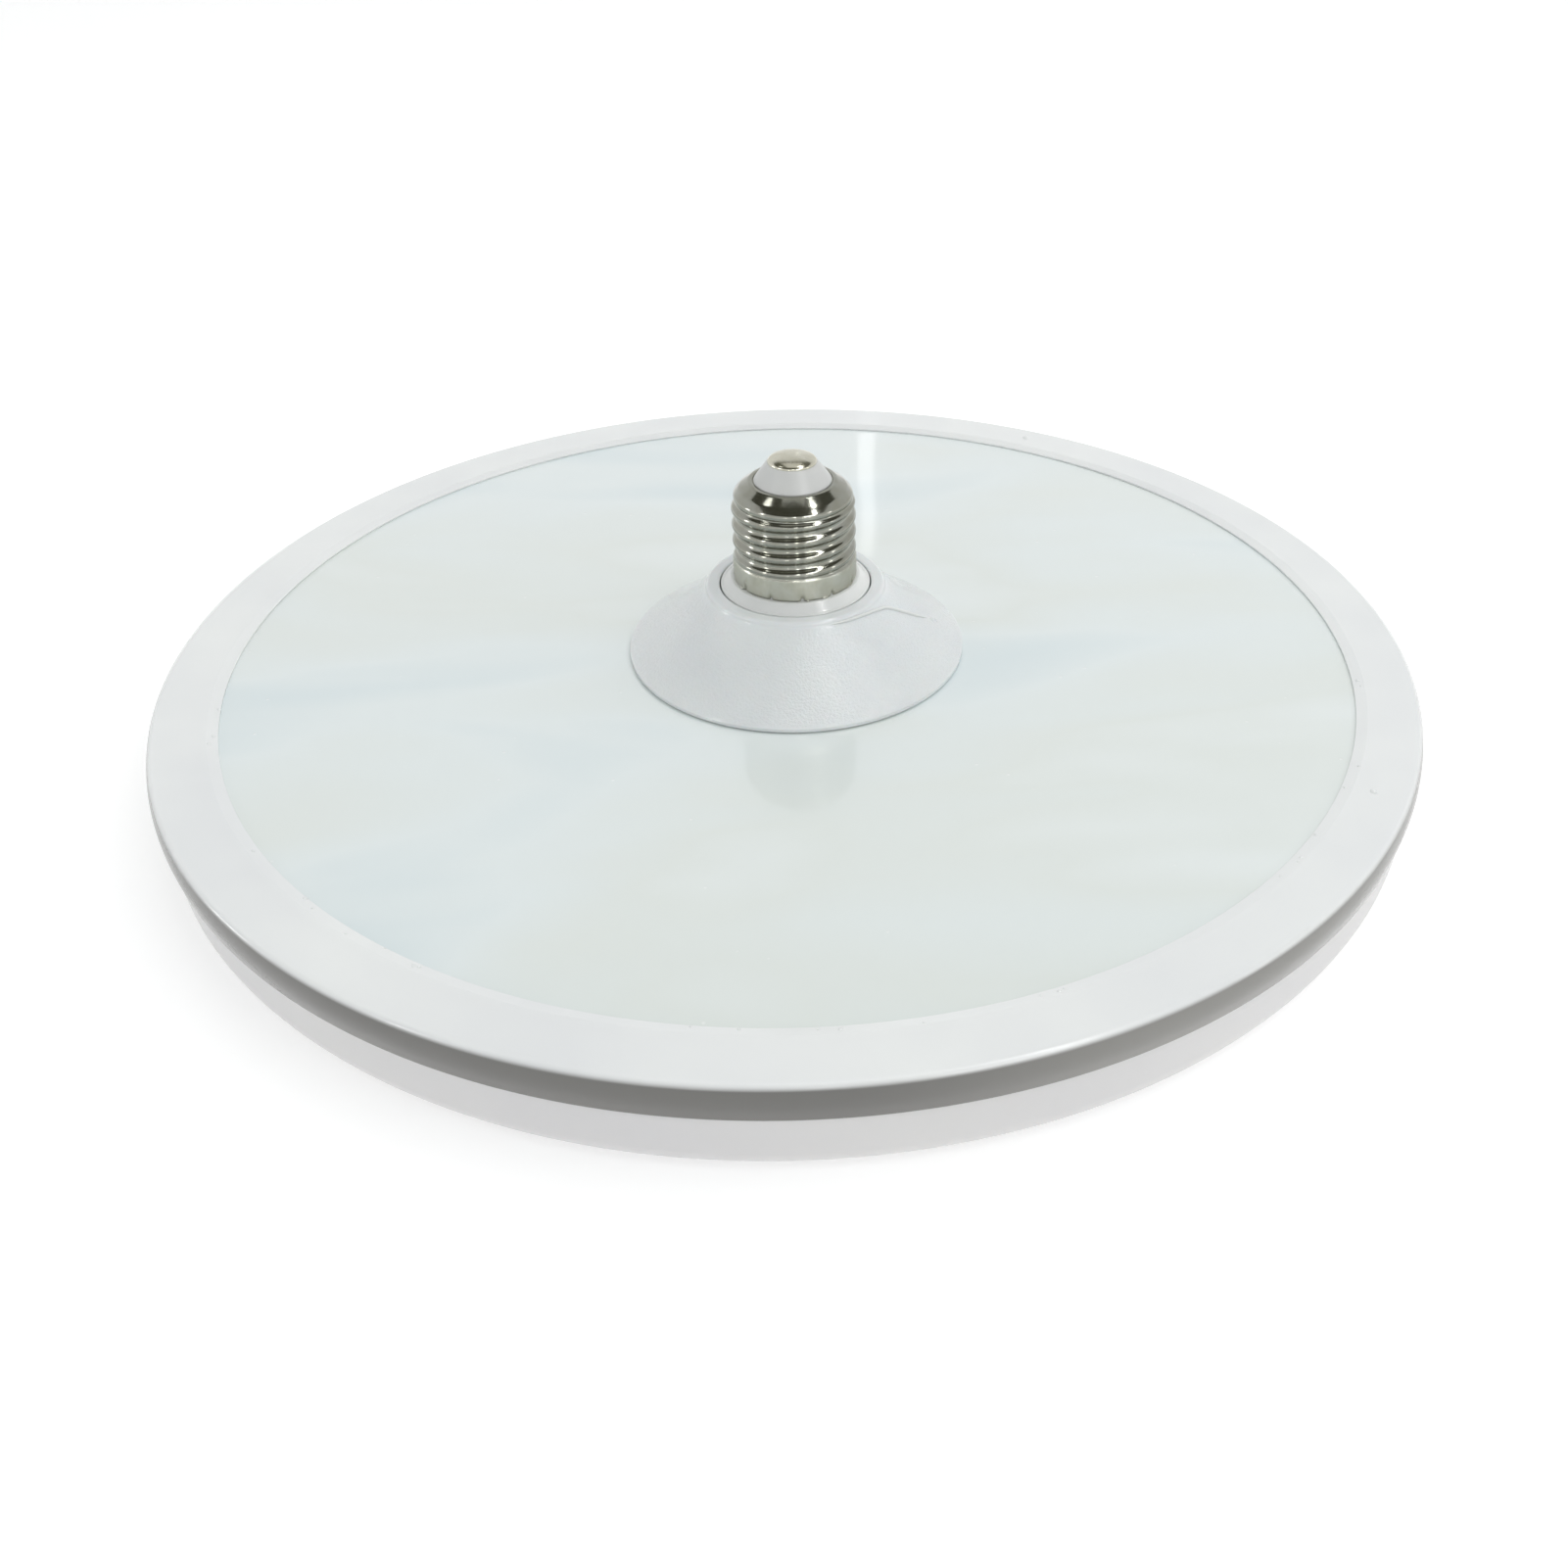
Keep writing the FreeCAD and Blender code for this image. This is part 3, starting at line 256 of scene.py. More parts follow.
def as_object(name, mesh):
    """Merge doubles, face outwards, shade smoothly, and link an object at the origin."""
    work = bmesh.new()
    work.from_mesh(mesh)
    bmesh.ops.remove_doubles(work, verts=work.verts, dist=1e-7)
    bmesh.ops.dissolve_degenerate(work, edges=work.edges, dist=1e-8)
    bmesh.ops.recalc_face_normals(work, faces=work.faces)
    work.to_mesh(mesh)
    work.free()
    mesh.polygons.foreach_set("use_smooth", np.ones(len(mesh.polygons), bool))
    mesh.set_sharp_from_angle(angle=math.radians(50))
    mesh.update()
    piece = bpy.data.objects.new(name, mesh)
    bpy.context.scene.collection.objects.link(piece)
    return piece


def turned(outline, columns):
    """Turn an outline of (radius, height) about Z: (r cos a, r sin a, z)."""
    around = np.linspace(0, 2 * np.pi, columns, endpoint=False)[:, None]
    radius, height = outline[:, 0][None], outline[:, 1][None]
    return np.stack([radius * np.cos(around), radius * np.sin(around),
                     np.broadcast_to(height, (columns, len(outline)))], -1)


def attach(piece, material):
    """Dress a piece that stands for no CAD node, and let it ride on the lamp."""
    piece.data.materials.append(material)
    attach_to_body(piece, "root")


def finish_piece(piece, node, material):
    """Even out the shading of flat stretches, and let the piece stand for its CAD node."""
    weighted = piece.modifiers.new("even shading", "WEIGHTED_NORMAL")
    weighted.keep_sharp = True
    piece.data.materials.append(material)
    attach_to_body(piece, "root")
    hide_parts(node)
    return piece


def smooth_step(value, low, high):
    """0 below low, 1 above high, 3 t^2 - 2 t^3 between."""
    share = np.clip((value - low) / (high - low), 0, 1)
    return share * share * (3 - 2 * share)


# Materials


def add(tree, kind, links=(), stops=(), **settings):
    """Add a node of a kind, set its attributes and inputs by name, and link sources to inputs.

    links holds (input, source socket), and stops a colour ramp's (position, colour). A name in
    settings that the node has as an attribute is set there, and any other names an input, with _
    for a space, or its number after an i."""
    node = tree.nodes.new(kind)
    for name, value in settings.items():
        if hasattr(node, name):
            setattr(node, name, value)
    for name, value in settings.items():
        if not hasattr(node, name):
            key = int(name[1:]) if name[0] == "i" and name[1:].isdigit() else name.replace("_", " ")
            node.inputs[key].default_value = value
    for name, source in links:
        tree.links.new(source, node.inputs[name])
    for i, (position, value) in enumerate(stops):
        elements = node.color_ramp.elements
        element = elements[i] if i < 2 else elements.new(position)
        element.position = position
        element.color = value
    return node


def new_material(name):
    """An empty material with its surface shader and the object's own coordinates."""
    material = bpy.data.materials.new(name)
    material.use_nodes = True
    tree = material.node_tree
    tree.nodes.clear()
    output = tree.nodes.new("ShaderNodeOutputMaterial")
    shader = tree.nodes.new("ShaderNodeBsdfPrincipled")
    tree.links.new(shader.outputs["BSDF"], output.inputs["Surface"])
    place = tree.nodes.new("ShaderNodeTexCoord").outputs["Object"]
    return material, tree, shader, place


def set_inputs(shader, **values):
    """Set the shader's inputs, _ for a space, to values or link them to sockets."""
    for name, value in values.items():
        socket = shader.inputs[name.replace("_", " ")]
        if isinstance(value, bpy.types.NodeSocket):
            shader.id_data.links.new(value, socket)
        else:
            socket.default_value = value


def per_metre(millimetres):
    """Noise scale at which one cell is so many millimetres."""
    return 1 / (millimetres * MM)


def tinted(tree, source, base, *tones):
    """Base colour multiplied by grey or tinted tones along a source from 0 to 1."""
    tone = add(tree, "ShaderNodeValToRGB", [("Fac", source)], tones)
    mix = add(tree, "ShaderNodeMix", [(7, tone.outputs["Color"])], data_type="RGBA",
              blend_type="MULTIPLY", i0=1.0, i6=base)
    return mix.outputs[2]


def moulded_rim_abs(base, painted_shade_left, painted_shade_right, wall_top, wall_radius):
    """Gloss ABS, injection moulded: long soft flow waves under a bright skin.

    The outer wall fades into painted shade below its rounding: a mid grey that stands for the shade
    on the white moulding, lighter on the right, as the photograph shows it."""
    material, tree, shader, place = new_material("moulded_white_abs")
    set_inputs(shader, IOR=1.53, Coat_Weight=0.25, Coat_Roughness=0.08, Subsurface_Weight=0.08,
               Subsurface_Scale=2 * MM, Subsurface_Radius=(1.0, 1.0, 1.0))
    flow = add(tree, "ShaderNodeTexNoise", [("Vector", place)], Scale=per_metre(34), Detail=2.0)
    grain = add(tree, "ShaderNodeTexNoise", [("Vector", place)], Scale=per_metre(1.1), Detail=3.0)
    colour_out = tinted(tree, flow.outputs["Fac"], base,
                        (0.3, srgb("#F7F7F9")), (0.7, srgb("#FFFFFF")))
    apart = add(tree, "ShaderNodeSeparateXYZ", [("Vector", place)])
    # Painted shade: below its rounding the outer wall turns grey for the shade on the white
    # moulding, and the grey lightens towards +X where more light falls
    below = add(tree, "ShaderNodeMapRange", [("Value", apart.outputs["Z"])],
                interpolation_type="SMOOTHSTEP",
                i1=wall_top - 1.0 * MM, i2=wall_top, i3=1.0, i4=0.0)
    across = add(tree, "ShaderNodeMapRange", [("Value", apart.outputs["X"])],
                 interpolation_type="SMOOTHSTEP", i1=0.0, i2=60 * MM)
    grey = add(tree, "ShaderNodeValToRGB", [("Fac", across.outputs["Result"])],
               [(0.0, painted_shade_left), (1.0, painted_shade_right)])
    flat = add(tree, "ShaderNodeVectorMath", [(0, place)], operation="MULTIPLY")
    flat.inputs[1].default_value = (1.0, 1.0, 0.0)
    out = add(tree, "ShaderNodeVectorMath", [(0, flat.outputs["Vector"])], operation="LENGTH")
    outer = add(tree, "ShaderNodeMath", [(0, out.outputs["Value"])],
                operation="GREATER_THAN", i1=wall_radius)
    wall = add(tree, "ShaderNodeMath", [(0, below.outputs["Result"]), (1, outer.outputs["Value"])],
               operation="MULTIPLY")
    mix = add(tree, "ShaderNodeMix", [(0, wall.outputs["Value"]), (6, colour_out)],
              data_type="RGBA")
    tree.links.new(grey.outputs["Color"], mix.inputs[7])
    set_inputs(shader, Base_Color=mix.outputs[2])
    wave = add(tree, "ShaderNodeBump", [("Height", flow.outputs["Fac"])],
               Strength=0.35, Distance=1.2 * MM)
    skin = add(tree, "ShaderNodeBump",
               [("Height", grain.outputs["Fac"]), ("Normal", wave.outputs["Normal"])],
               Strength=0.05, Distance=0.03 * MM)
    set_inputs(shader, Normal=skin.outputs["Normal"])
    gloss = add(tree, "ShaderNodeMapRange", [("Value", grain.outputs["Fac"])],
                i1=0.3, i2=0.7, i3=0.20, i4=0.26)
    set_inputs(shader, Roughness=gloss.outputs["Result"])
    return material


def coated_plate(base):
    """Gloss coat rolled on aluminium sheet: cool cloudy bands, dust specks, a mirror-like skin."""
    material, tree, shader, place = new_material("gloss_coated_aluminium_sheet")
    set_inputs(shader, Roughness=0.22, IOR=1.5, Coat_Weight=1.0, Coat_Roughness=0.05, Coat_IOR=1.55)
    bands = add(tree, "ShaderNodeMapping", [("Vector", place)])
    bands.inputs["Scale"].default_value = (0.38, 1.0, 1.0)
    bands.inputs["Location"].default_value = (0.013, 0.021, 0.0)
    cloud = add(tree, "ShaderNodeTexNoise", [("Vector", bands.outputs["Vector"])],
                Scale=per_metre(46), Detail=2.5, Roughness=0.45, Distortion=0.35)
    colour_out = tinted(tree, cloud.outputs["Fac"], base,
                        (0.30, srgb("#EAF1F4")), (0.44, srgb("#F8FAFA")), (0.60, srgb("#F6F6F2")),
                        (0.76, srgb("#FFFFFF")))
    specks = add(tree, "ShaderNodeTexVoronoi", [("Vector", place)],
                 Scale=per_metre(5.2), Randomness=1.0)
    near = add(tree, "ShaderNodeMapRange", [("Value", specks.outputs["Distance"])],
               i1=0.045, i2=0.075, i3=1.0, i4=0.0)
    chosen = add(tree, "ShaderNodeSeparateColor", [("Color", specks.outputs["Color"])])
    few = add(tree, "ShaderNodeMath", [(0, chosen.outputs["Red"])],
              operation="GREATER_THAN", i1=0.62)
    dust = add(tree, "ShaderNodeMath", [(0, near.outputs["Result"]), (1, few.outputs["Value"])],
               operation="MULTIPLY")
    soft = add(tree, "ShaderNodeMath", [(0, dust.outputs["Value"])], operation="MULTIPLY", i1=0.35)
    mix = add(tree, "ShaderNodeMix", [(0, soft.outputs["Value"])], data_type="RGBA")
    tree.links.new(colour_out, mix.inputs[6])
    mix.inputs[7].default_value = srgb("#FCFDFD")
    set_inputs(shader, Base_Color=mix.outputs[2])
    ripple = add(tree, "ShaderNodeTexNoise", [("Vector", place)], Scale=per_metre(60), Detail=1.0)
    wave = add(tree, "ShaderNodeBump", [("Height", ripple.outputs["Fac"])],
               Strength=0.25, Distance=0.9 * MM)
    bump = add(tree, "ShaderNodeBump",
               [("Height", dust.outputs["Value"]), ("Normal", wave.outputs["Normal"])],
               Strength=0.6, Distance=0.05 * MM)
    set_inputs(shader, Normal=bump.outputs["Normal"], Coat_Normal=bump.outputs["Normal"])
    return material


def milky_diffuser(base):
    """Opal polycarbonate, moulded: light spreads inside it, satin skin without grain."""
    material, tree, shader, place = new_material("opal_moulded_polycarbonate")
    set_inputs(shader, Roughness=0.38, IOR=1.58, Subsurface_Weight=0.5, Subsurface_Scale=4 * MM,
               Subsurface_Radius=(1.0, 0.95, 0.9))
    flow = add(tree, "ShaderNodeTexNoise", [("Vector", place)], Scale=per_metre(60), Detail=1.5)
    colour_out = tinted(tree, flow.outputs["Fac"], base,
                        (0.35, srgb("#FAFAFC")), (0.65, srgb("#FFFFFF")))
    set_inputs(shader, Base_Color=colour_out)
    skin = add(tree, "ShaderNodeTexNoise", [("Vector", place)], Scale=per_metre(0.9), Detail=2.0)
    bump = add(tree, "ShaderNodeBump", [("Height", skin.outputs["Fac"])],
               Strength=0.08, Distance=0.05 * MM)
    set_inputs(shader, Normal=bump.outputs["Normal"])
    return material


def grained_cone_abs(base, foot_level, lip_level):
    """ABS moulded in a spark-eroded cavity: a fine pebble grain that glitters where light hits."""
    material, tree, shader, place = new_material("spark_grained_white_abs")
    set_inputs(shader, Roughness=0.11, IOR=1.53, Coat_Weight=0.3, Coat_Roughness=0.05,
               Subsurface_Weight=0.08, Subsurface_Scale=1.5 * MM)
    # Real spark grain is about 0.15 mm wide; it is drawn at 0.6 mm so that it shows
    pebbles = add(tree, "ShaderNodeTexNoise", [("Vector", place)],
                  Scale=per_metre(0.6), Detail=2.0, Roughness=0.7)
    tint = add(tree, "ShaderNodeTexNoise", [("Vector", place)], Scale=per_metre(18), Detail=1.0)
    colour_out = tinted(tree, tint.outputs["Fac"], base,
                        (0.3, srgb("#F8F8FA")), (0.7, srgb("#FFFFFF")))
    set_inputs(shader, Base_Color=colour_out)
    level = add(tree, "ShaderNodeSeparateXYZ", [("Vector", place)]).outputs["Z"]
    grained = add(tree, "ShaderNodeMapRange", [("Value", level)], interpolation_type="SMOOTHSTEP",
                  i1=lip_level - 1.2 * MM, i2=lip_level, i3=1.0, i4=0.04)
    flared = add(tree, "ShaderNodeMath", [(0, level)], operation="GREATER_THAN", i1=foot_level)
    strength = add(tree, "ShaderNodeMath",
                   [(0, grained.outputs["Result"]), (1, flared.outputs["Value"])],
                   operation="MULTIPLY")
    bump = add(tree, "ShaderNodeBump",
               [("Height", pebbles.outputs["Fac"]), ("Strength", strength.outputs["Value"])],
               Distance=0.2 * MM)
    set_inputs(shader, Normal=bump.outputs["Normal"], Coat_Normal=bump.outputs["Normal"])
    return material


def gloss_plastic(name, base, roughness=0.2, grain=1.0, low="#F4F4F5", strength=0.1):
    """Injection-moulded plastic: a slight skin grain, and a tint that drifts over 14 grains."""
    material, tree, shader, place = new_material(name)
    set_inputs(shader, Roughness=roughness, IOR=1.53)
    noise = add(tree, "ShaderNodeTexNoise", [("Vector", place)], Scale=per_metre(grain), Detail=3.0)
    broad = add(tree, "ShaderNodeTexNoise", [("Vector", place)],
                Scale=per_metre(grain * 14), Detail=1.0)
    colour_out = tinted(tree, broad.outputs["Fac"], base, (0.3, srgb(low)), (0.7, srgb("#FFFFFF")))
    set_inputs(shader, Base_Color=colour_out)
    bump = add(tree, "ShaderNodeBump", [("Height", noise.outputs["Fac"])],
               Strength=strength, Distance=0.1 * MM)
    set_inputs(shader, Normal=bump.outputs["Normal"])
    return material


def plated_nickel(name, base, skirt_top, roughness=0.09, draw=0.05):
    """Nickel plated on rolled brass: mirror bright with faint rolling waves, satin on the skirt,
    with a painted sheen that makes the skirt up to 1.5 times lighter.
    """
    material, tree, shader, place = new_material(name)
    set_inputs(shader, Metallic=1.0)
    waves = add(tree, "ShaderNodeTexNoise", [("Vector", place)], Scale=per_metre(3.2), Detail=2.0)
    pits = add(tree, "ShaderNodeTexNoise", [("Vector", place)], Scale=per_metre(0.35), Detail=2.0)
    colour_out = tinted(tree, waves.outputs["Fac"], base,
                        (0.3, srgb("#F0EEE8")), (0.7, srgb("#FFFFFF")))
    gloss = add(tree, "ShaderNodeMapRange", [("Value", pits.outputs["Fac"])], i1=0.3, i2=0.75,
                i3=roughness, i4=roughness * 1.9)
    level = add(tree, "ShaderNodeSeparateXYZ", [("Vector", place)]).outputs["Z"]
    skirt_end = skirt_top + 0.8 * MM
    satin = add(tree, "ShaderNodeMapRange", [("Value", level)],
                i1=skirt_top, i2=skirt_end, i3=0.3, i4=0.0)
    # Painted sheen: the skirt's plating is 1.5 times lighter below the thread, standing for the
    # bright plate that it mirrors
    painted_skirt_sheen = add(tree, "ShaderNodeMapRange", [("Value", level)],
                 i1=skirt_top, i2=skirt_end, i3=1.5, i4=1.0)
    lighter = add(tree, "ShaderNodeVectorMath",
                  [(0, colour_out), ("Scale", painted_skirt_sheen.outputs["Result"])], operation="SCALE")
    set_inputs(shader, Base_Color=lighter.outputs["Vector"])
    blend = add(tree, "ShaderNodeMath",
                [(0, gloss.outputs["Result"]), (1, satin.outputs["Result"])], operation="ADD")
    set_inputs(shader, Roughness=blend.outputs["Value"])
    bump = add(tree, "ShaderNodeBump", [("Height", waves.outputs["Fac"])],
               Strength=draw, Distance=0.4 * MM)
    set_inputs(shader, Normal=bump.outputs["Normal"])
    return material


def metal(name, code, roughness, grain):
    """A plain metal with a fine grain in its gloss."""
    material, tree, shader, place = new_material(name)
    set_inputs(shader, Metallic=1.0)
    noise = add(tree, "ShaderNodeTexNoise", [("Vector", place)], Scale=per_metre(grain), Detail=2.0)
    colour_out = tinted(tree, noise.outputs["Fac"], srgb(code),
                        (0.3, srgb("#E8E8E8")), (0.7, srgb("#FFFFFF")))
    set_inputs(shader, Base_Color=colour_out)
    gloss = add(tree, "ShaderNodeMapRange", [("Value", noise.outputs["Fac"])], i1=0.3, i2=0.7,
                i3=roughness * 0.8, i4=roughness * 1.3)
    set_inputs(shader, Roughness=gloss.outputs["Result"])
    return material


def dress(node, material):
    """Give a CAD node its material."""
    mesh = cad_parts[node].data
    mesh.materials.clear()
    mesh.materials.append(material)


# Operators


class LAMP_OT_stage(bpy.types.Operator):
    """Set up the camera at the photograph's place, the pale floor and the soft light"""
    bl_idname = "disc_lamp.stage"
    bl_label = "Stage"

    def execute(self, context):
        settings = context.scene.disc_lamp_stage
        scene = context.scene
        data = bpy.data.cameras.new("camera")
        data.sensor_width = 36.0
        data.lens = settings.focal_pixels / IMAGE_SIZE * data.sensor_width
        data.shift_x = (IMAGE_SIZE / 2 - settings.centre_x) / IMAGE_SIZE
        data.shift_y = (settings.centre_y - IMAGE_SIZE / 2) / IMAGE_SIZE
        data.clip_start = 0.01
        camera = bpy.data.objects.new("camera", data)
        yaw = Matrix.Rotation(-settings.yaw, 4, "Z")
        tilt = Matrix.Rotation(math.pi / 2 - settings.pitch, 4, "X")
        lean = Matrix.Rotation(settings.roll, 4, "Z")
        place = Matrix.Translation((0, -settings.camera_back, settings.camera_height))
        camera.matrix_world = place @ yaw @ tilt @ lean
        scene.collection.objects.link(camera)
        scene.camera = camera
        scene.view_settings.view_transform = "Standard"
        self.floor(settings)
        self.lights()
        self.world(context)
        return {"FINISHED"}

    def floor(self, settings):
        """A disc that turns up into a round wall: 0.9 (r - flat)^2 high beyond its flat part."""
        flat = 2.0
        radius = np.concatenate([np.linspace(0, flat, 9), np.linspace(2.2, 4.0, 19)])
        rise = np.where(radius > flat, (radius - flat) ** 2 * 0.9, 0.0)
        piece = surface("floor", turned(np.stack([radius, rise], 1), columns=96), wrap_rows=False)
        piece.data.flip_normals()
        material, tree, shader, place = new_material("matt_pale_paper")
        set_inputs(shader, Roughness=0.9, IOR=1.3)
        noise = add(tree, "ShaderNodeTexNoise", [("Vector", place)],
                    Scale=per_metre(300), Detail=2.0)
        colour_out = tinted(tree, noise.outputs["Fac"], (*settings.floor_colour, 1.0),
                            (0.3, srgb("#FCFCFC")), (0.7, srgb("#FFFFFF")))
        set_inputs(shader, Base_Color=colour_out, Emission_Color=(1.0, 1.0, 1.0, 1.0),
                   Emission_Strength=settings.table_glow)
        piece.data.materials.append(material)

    def lights(self):
        """One wide soft box overhead for the shade, and small lamps that only show in gloss."""
        self.lamp("soft_box", (0.4, 0.0, 1.5), (1.9, 1.7), 15.2, gloss=False)
        self.lamp("side_fill", (1.7, -0.3, 0.6), (0.7, 0.5), 0.9, gloss=False)
        strip = np.linspace((0.44, 0.26, 1.52), (0.80, -0.66, 1.21), 4).tolist()
        # Name, place and size in metres, and power in watts
        in_gloss = [
            ("ceiling", (0.0, 0.5, 1.8), (0.9, 1.3), 2.2),
            *((f"key_{i}", place, (0.14, 0.14), 1.35) for i, place in enumerate(strip)),
            ("left_top", (-0.74, 0.13, 1.42), (0.2, 0.2), 0.5),
            ("right_window", (0.69, -1.11, 0.92), (0.5, 0.45), 4.0),
            ("right_card", (1.46, -0.50, 0.41), (0.15, 0.25), 1.0),
            ("near_card", (0.05, -1.36, 0.85), (0.1, 0.35), 1.2),
            ("left_card", (-1.25, -0.61, 0.8), (0.12, 0.4), 1.5),
            ("left_window", (-1.56, 0.11, 0.33), (0.25, 0.3), 2.0),
            ("front_spot_0", (0.51, -1.40, 0.57), (0.12, 0.08), 0.5),
            ("front_spot_1", (-0.41, -1.54, 0.17), (0.1, 0.1), 0.4),
            ("front_spot_2", (0.75, -1.40, 0.17), (0.1, 0.1), 0.4),
        ]
        for lamp in in_gloss:
            self.lamp(*lamp, shade=False)
        # The upright stripe that the plate mirrors beside the cap
        self.lamp("tube", (0.14, 2.4, 0.98), (0.03, 0.5), 0.05, shade=False, target=(0, 0, 0.9))

    def lamp(self, name, place, size, power, gloss=True, shade=True, target=(0, 0, 0)):
        """A rectangular lamp at a place, turned to a target."""
        data = bpy.data.lights.new(name, "AREA")
        data.shape = "RECTANGLE"
        data.size, data.size_y = size
        data.energy = power
        item = bpy.data.objects.new(name, data)
        item.location = place
        item.rotation_mode = "QUATERNION"
        item.rotation_quaternion = (Vector(target) - Vector(place)).to_track_quat("-Z", "Y")
        item.visible_glossy = gloss
        item.visible_diffuse = shade
        item.visible_camera = False
        bpy.context.scene.collection.objects.link(item)

    def world(self, context):
        """A pale surround, white for the eye; gloss sees a pale far side and a dim near one."""
        world = bpy.data.worlds.new("surround")
        world.use_nodes = True
        tree = world.node_tree
        tree.nodes.clear()
        output = tree.nodes.new("ShaderNodeOutputWorld")
        path = tree.nodes.new("ShaderNodeLightPath")
        glossy = path.outputs["Is Glossy Ray"]
        mixed = add(tree, "ShaderNodeMix", [(0, glossy)], data_type="RGBA")
        mixed.inputs[6].default_value = (0.245, 0.257, 0.256, 1.0)
        way = tree.nodes.new("ShaderNodeTexCoord").outputs["Generated"]
        depth = add(tree, "ShaderNodeSeparateXYZ", [("Vector", way)]).outputs["Y"]
        far = add(tree, "ShaderNodeMapRange", [("Value", depth)], interpolation_type="SMOOTHSTEP",
                  i1=0.55, i2=0.85)
        room = add(tree, "ShaderNodeValToRGB", [("Fac", far.outputs["Result"])],
                   [(0.0, (0.115, 0.115, 0.092, 1.0)), (1.0, (0.95, 0.95, 0.95, 1.0))])
        tree.links.new(room.outputs["Color"], mixed.inputs[7])
        seen = path.outputs["Is Camera Ray"]
        shown = add(tree, "ShaderNodeMix", [(0, seen), (6, mixed.outputs[2])], data_type="RGBA")
        shown.inputs[7].default_value = (1.0, 1.0, 1.0, 1.0)
        background = add(tree, "ShaderNodeBackground", [("Color", shown.outputs[2])])
        tree.links.new(background.outputs["Background"], output.inputs["Surface"])
        context.scene.world = world


class LAMP_OT_disc(bpy.types.Operator):
    """Build the rim, the diffuser and the back plate's finish"""
    bl_idname = "disc_lamp.disc"
    bl_label = "Disc"

    def execute(self, context):
        sizes = context.scene.disc_lamp_disc
        self.rim(sizes)
        self.diffuser(sizes)
        dress("back_plate", coated_plate((*sizes.plate_colour, 1.0)))
        return {"FINISHED"}

    def rim(self, s):
        """The rim's closed section turned about Z."""
        plate_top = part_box("back_plate")[1].z
        plate_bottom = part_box("back_plate")[0].z
        plate_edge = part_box("back_plate")[1].x + 0.3 * MM
        bore = s.rim_radius - s.rim_taper - s.rim_wall
        bead = s.rim_bottom + 2.4 * MM
        fine, soft = 0.08 * MM, 0.5 * MM
        outline = rounded([
            (s.lip_radius, plate_top, 0.2 * MM),
            (plate_edge, plate_top, fine),
            (plate_edge, plate_bottom, fine),
            (bore, plate_bottom, fine),
            (bore, bead + 0.9 * MM, fine),
            (bore + 0.4 * MM, bead, fine),
            (bore, bead - 0.9 * MM, fine),
            (bore, s.rim_bottom, fine),
            (s.rim_radius - s.rim_taper, s.rim_bottom, 0.25 * MM),
            (s.rim_radius, s.rim_top - s.edge_depth, s.edge_bow),
            (s.rim_radius - s.edge_lean, s.rim_top, s.edge_round),
            (s.lip_radius + s.bevel_width, s.rim_top, soft),
            (s.lip_radius, plate_top + s.lip_foot, fine),
        ])
        piece = surface("rim", turned(divided(outline, 3 * MM), columns=640))
        # The outer wall's two greys are painted shade on the white moulding
        plastic = moulded_rim_abs(
            (*s.rim_colour, 1.0), (*s.wall_painted_shade, 1.0), (*s.wall_right_painted_shade, 1.0),
            s.rim_top, s.rim_radius - 4 * MM)
        finish_piece(piece, "rim_ring", plastic)
        attach(self.flash(s, plate_top), plastic)

    def flash(self, s, plate_top):
        """Tiny beads of moulding flash along the bevel, and two round pin marks on the top band.

        Each is a flat cap: height times (1 - t^2) at the share t of its radius."""
        random = np.random.default_rng(7)
        count = 26
        around = np.radians(random.uniform(-170, -10, count))
        out = s.lip_radius + random.uniform(0.3, 1.9, count) * MM
        foot = plate_top + s.lip_foot
        level = foot + (out - s.lip_radius) / s.bevel_width * (s.rim_top - foot)
        width = random.uniform(0.22, 0.5, count) * MM
        around = np.append(around, np.radians([-29.9, 59.0]))
        out = np.append(out, np.array([127.2, 128.5]) * MM)
        level = np.append(level, [s.rim_top, s.rim_top])
        width = np.append(width, [0.8 * MM, 0.8 * MM])
        share = np.array([0.02, 0.35, 0.6, 0.8, 1.0])[None, None, :]
        ring = np.linspace(0, 2 * np.pi, 12, endpoint=False)[None, :, None]
        rows = [np.stack(np.broadcast_arrays(
            (out * np.cos(around))[:, None, None] + width[:, None, None] * share * np.cos(ring),
            (out * np.sin(around))[:, None, None] + width[:, None, None] * share * np.sin(ring),
            (level + lift)[:, None, None] + depth * width[:, None, None] * (1 - share ** 2)), -1)
            for lift, depth in ((-0.02 * MM, 0.5), (-0.02 * MM, -0.3))]
        shells = np.concatenate([rows[0], rows[1][:, :, ::-1]], 2)
        return clustered("rim_flash_beads", shells)

    def diffuser(self, s):
        """The diffuser's closed section turned about Z."""
        wall, draft, fine = 1.5 * MM, 0.4 * MM, 0.08 * MM
        hub, hub_round = 0.02 * MM, 0.005 * MM  # the section ends just short of the axis
        band_top = s.rim_bottom - 0.3 * MM
        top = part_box("diffuser")[1].z
        spigot = s.rim_radius - s.rim_taper - s.rim_wall - 0.3 * MM
        outline = rounded([
            (s.diffuser_radius - draft, 0, s.diffuser_round),
            (s.diffuser_radius, band_top, 0.3 * MM),
            (spigot, band_top, fine),
            (spigot, top, fine),
            (spigot - wall, top, fine),
            (spigot - wall, band_top - wall, fine),
            (s.diffuser_radius - wall, band_top - 2 * wall, fine),
            (s.diffuser_radius - draft - wall, s.diffuser_round, fine),
            (s.diffuser_radius - draft - s.diffuser_round, wall, fine),
            (hub, wall, hub_round),
            (hub, 0, hub_round),
        ], steps=9)
        piece = surface("diffuser_dish", turned(divided(outline, 6 * MM), columns=512))
        milky = milky_diffuser((*s.diffuser_colour, 1.0))
        finish_piece(piece, "diffuser", milky)


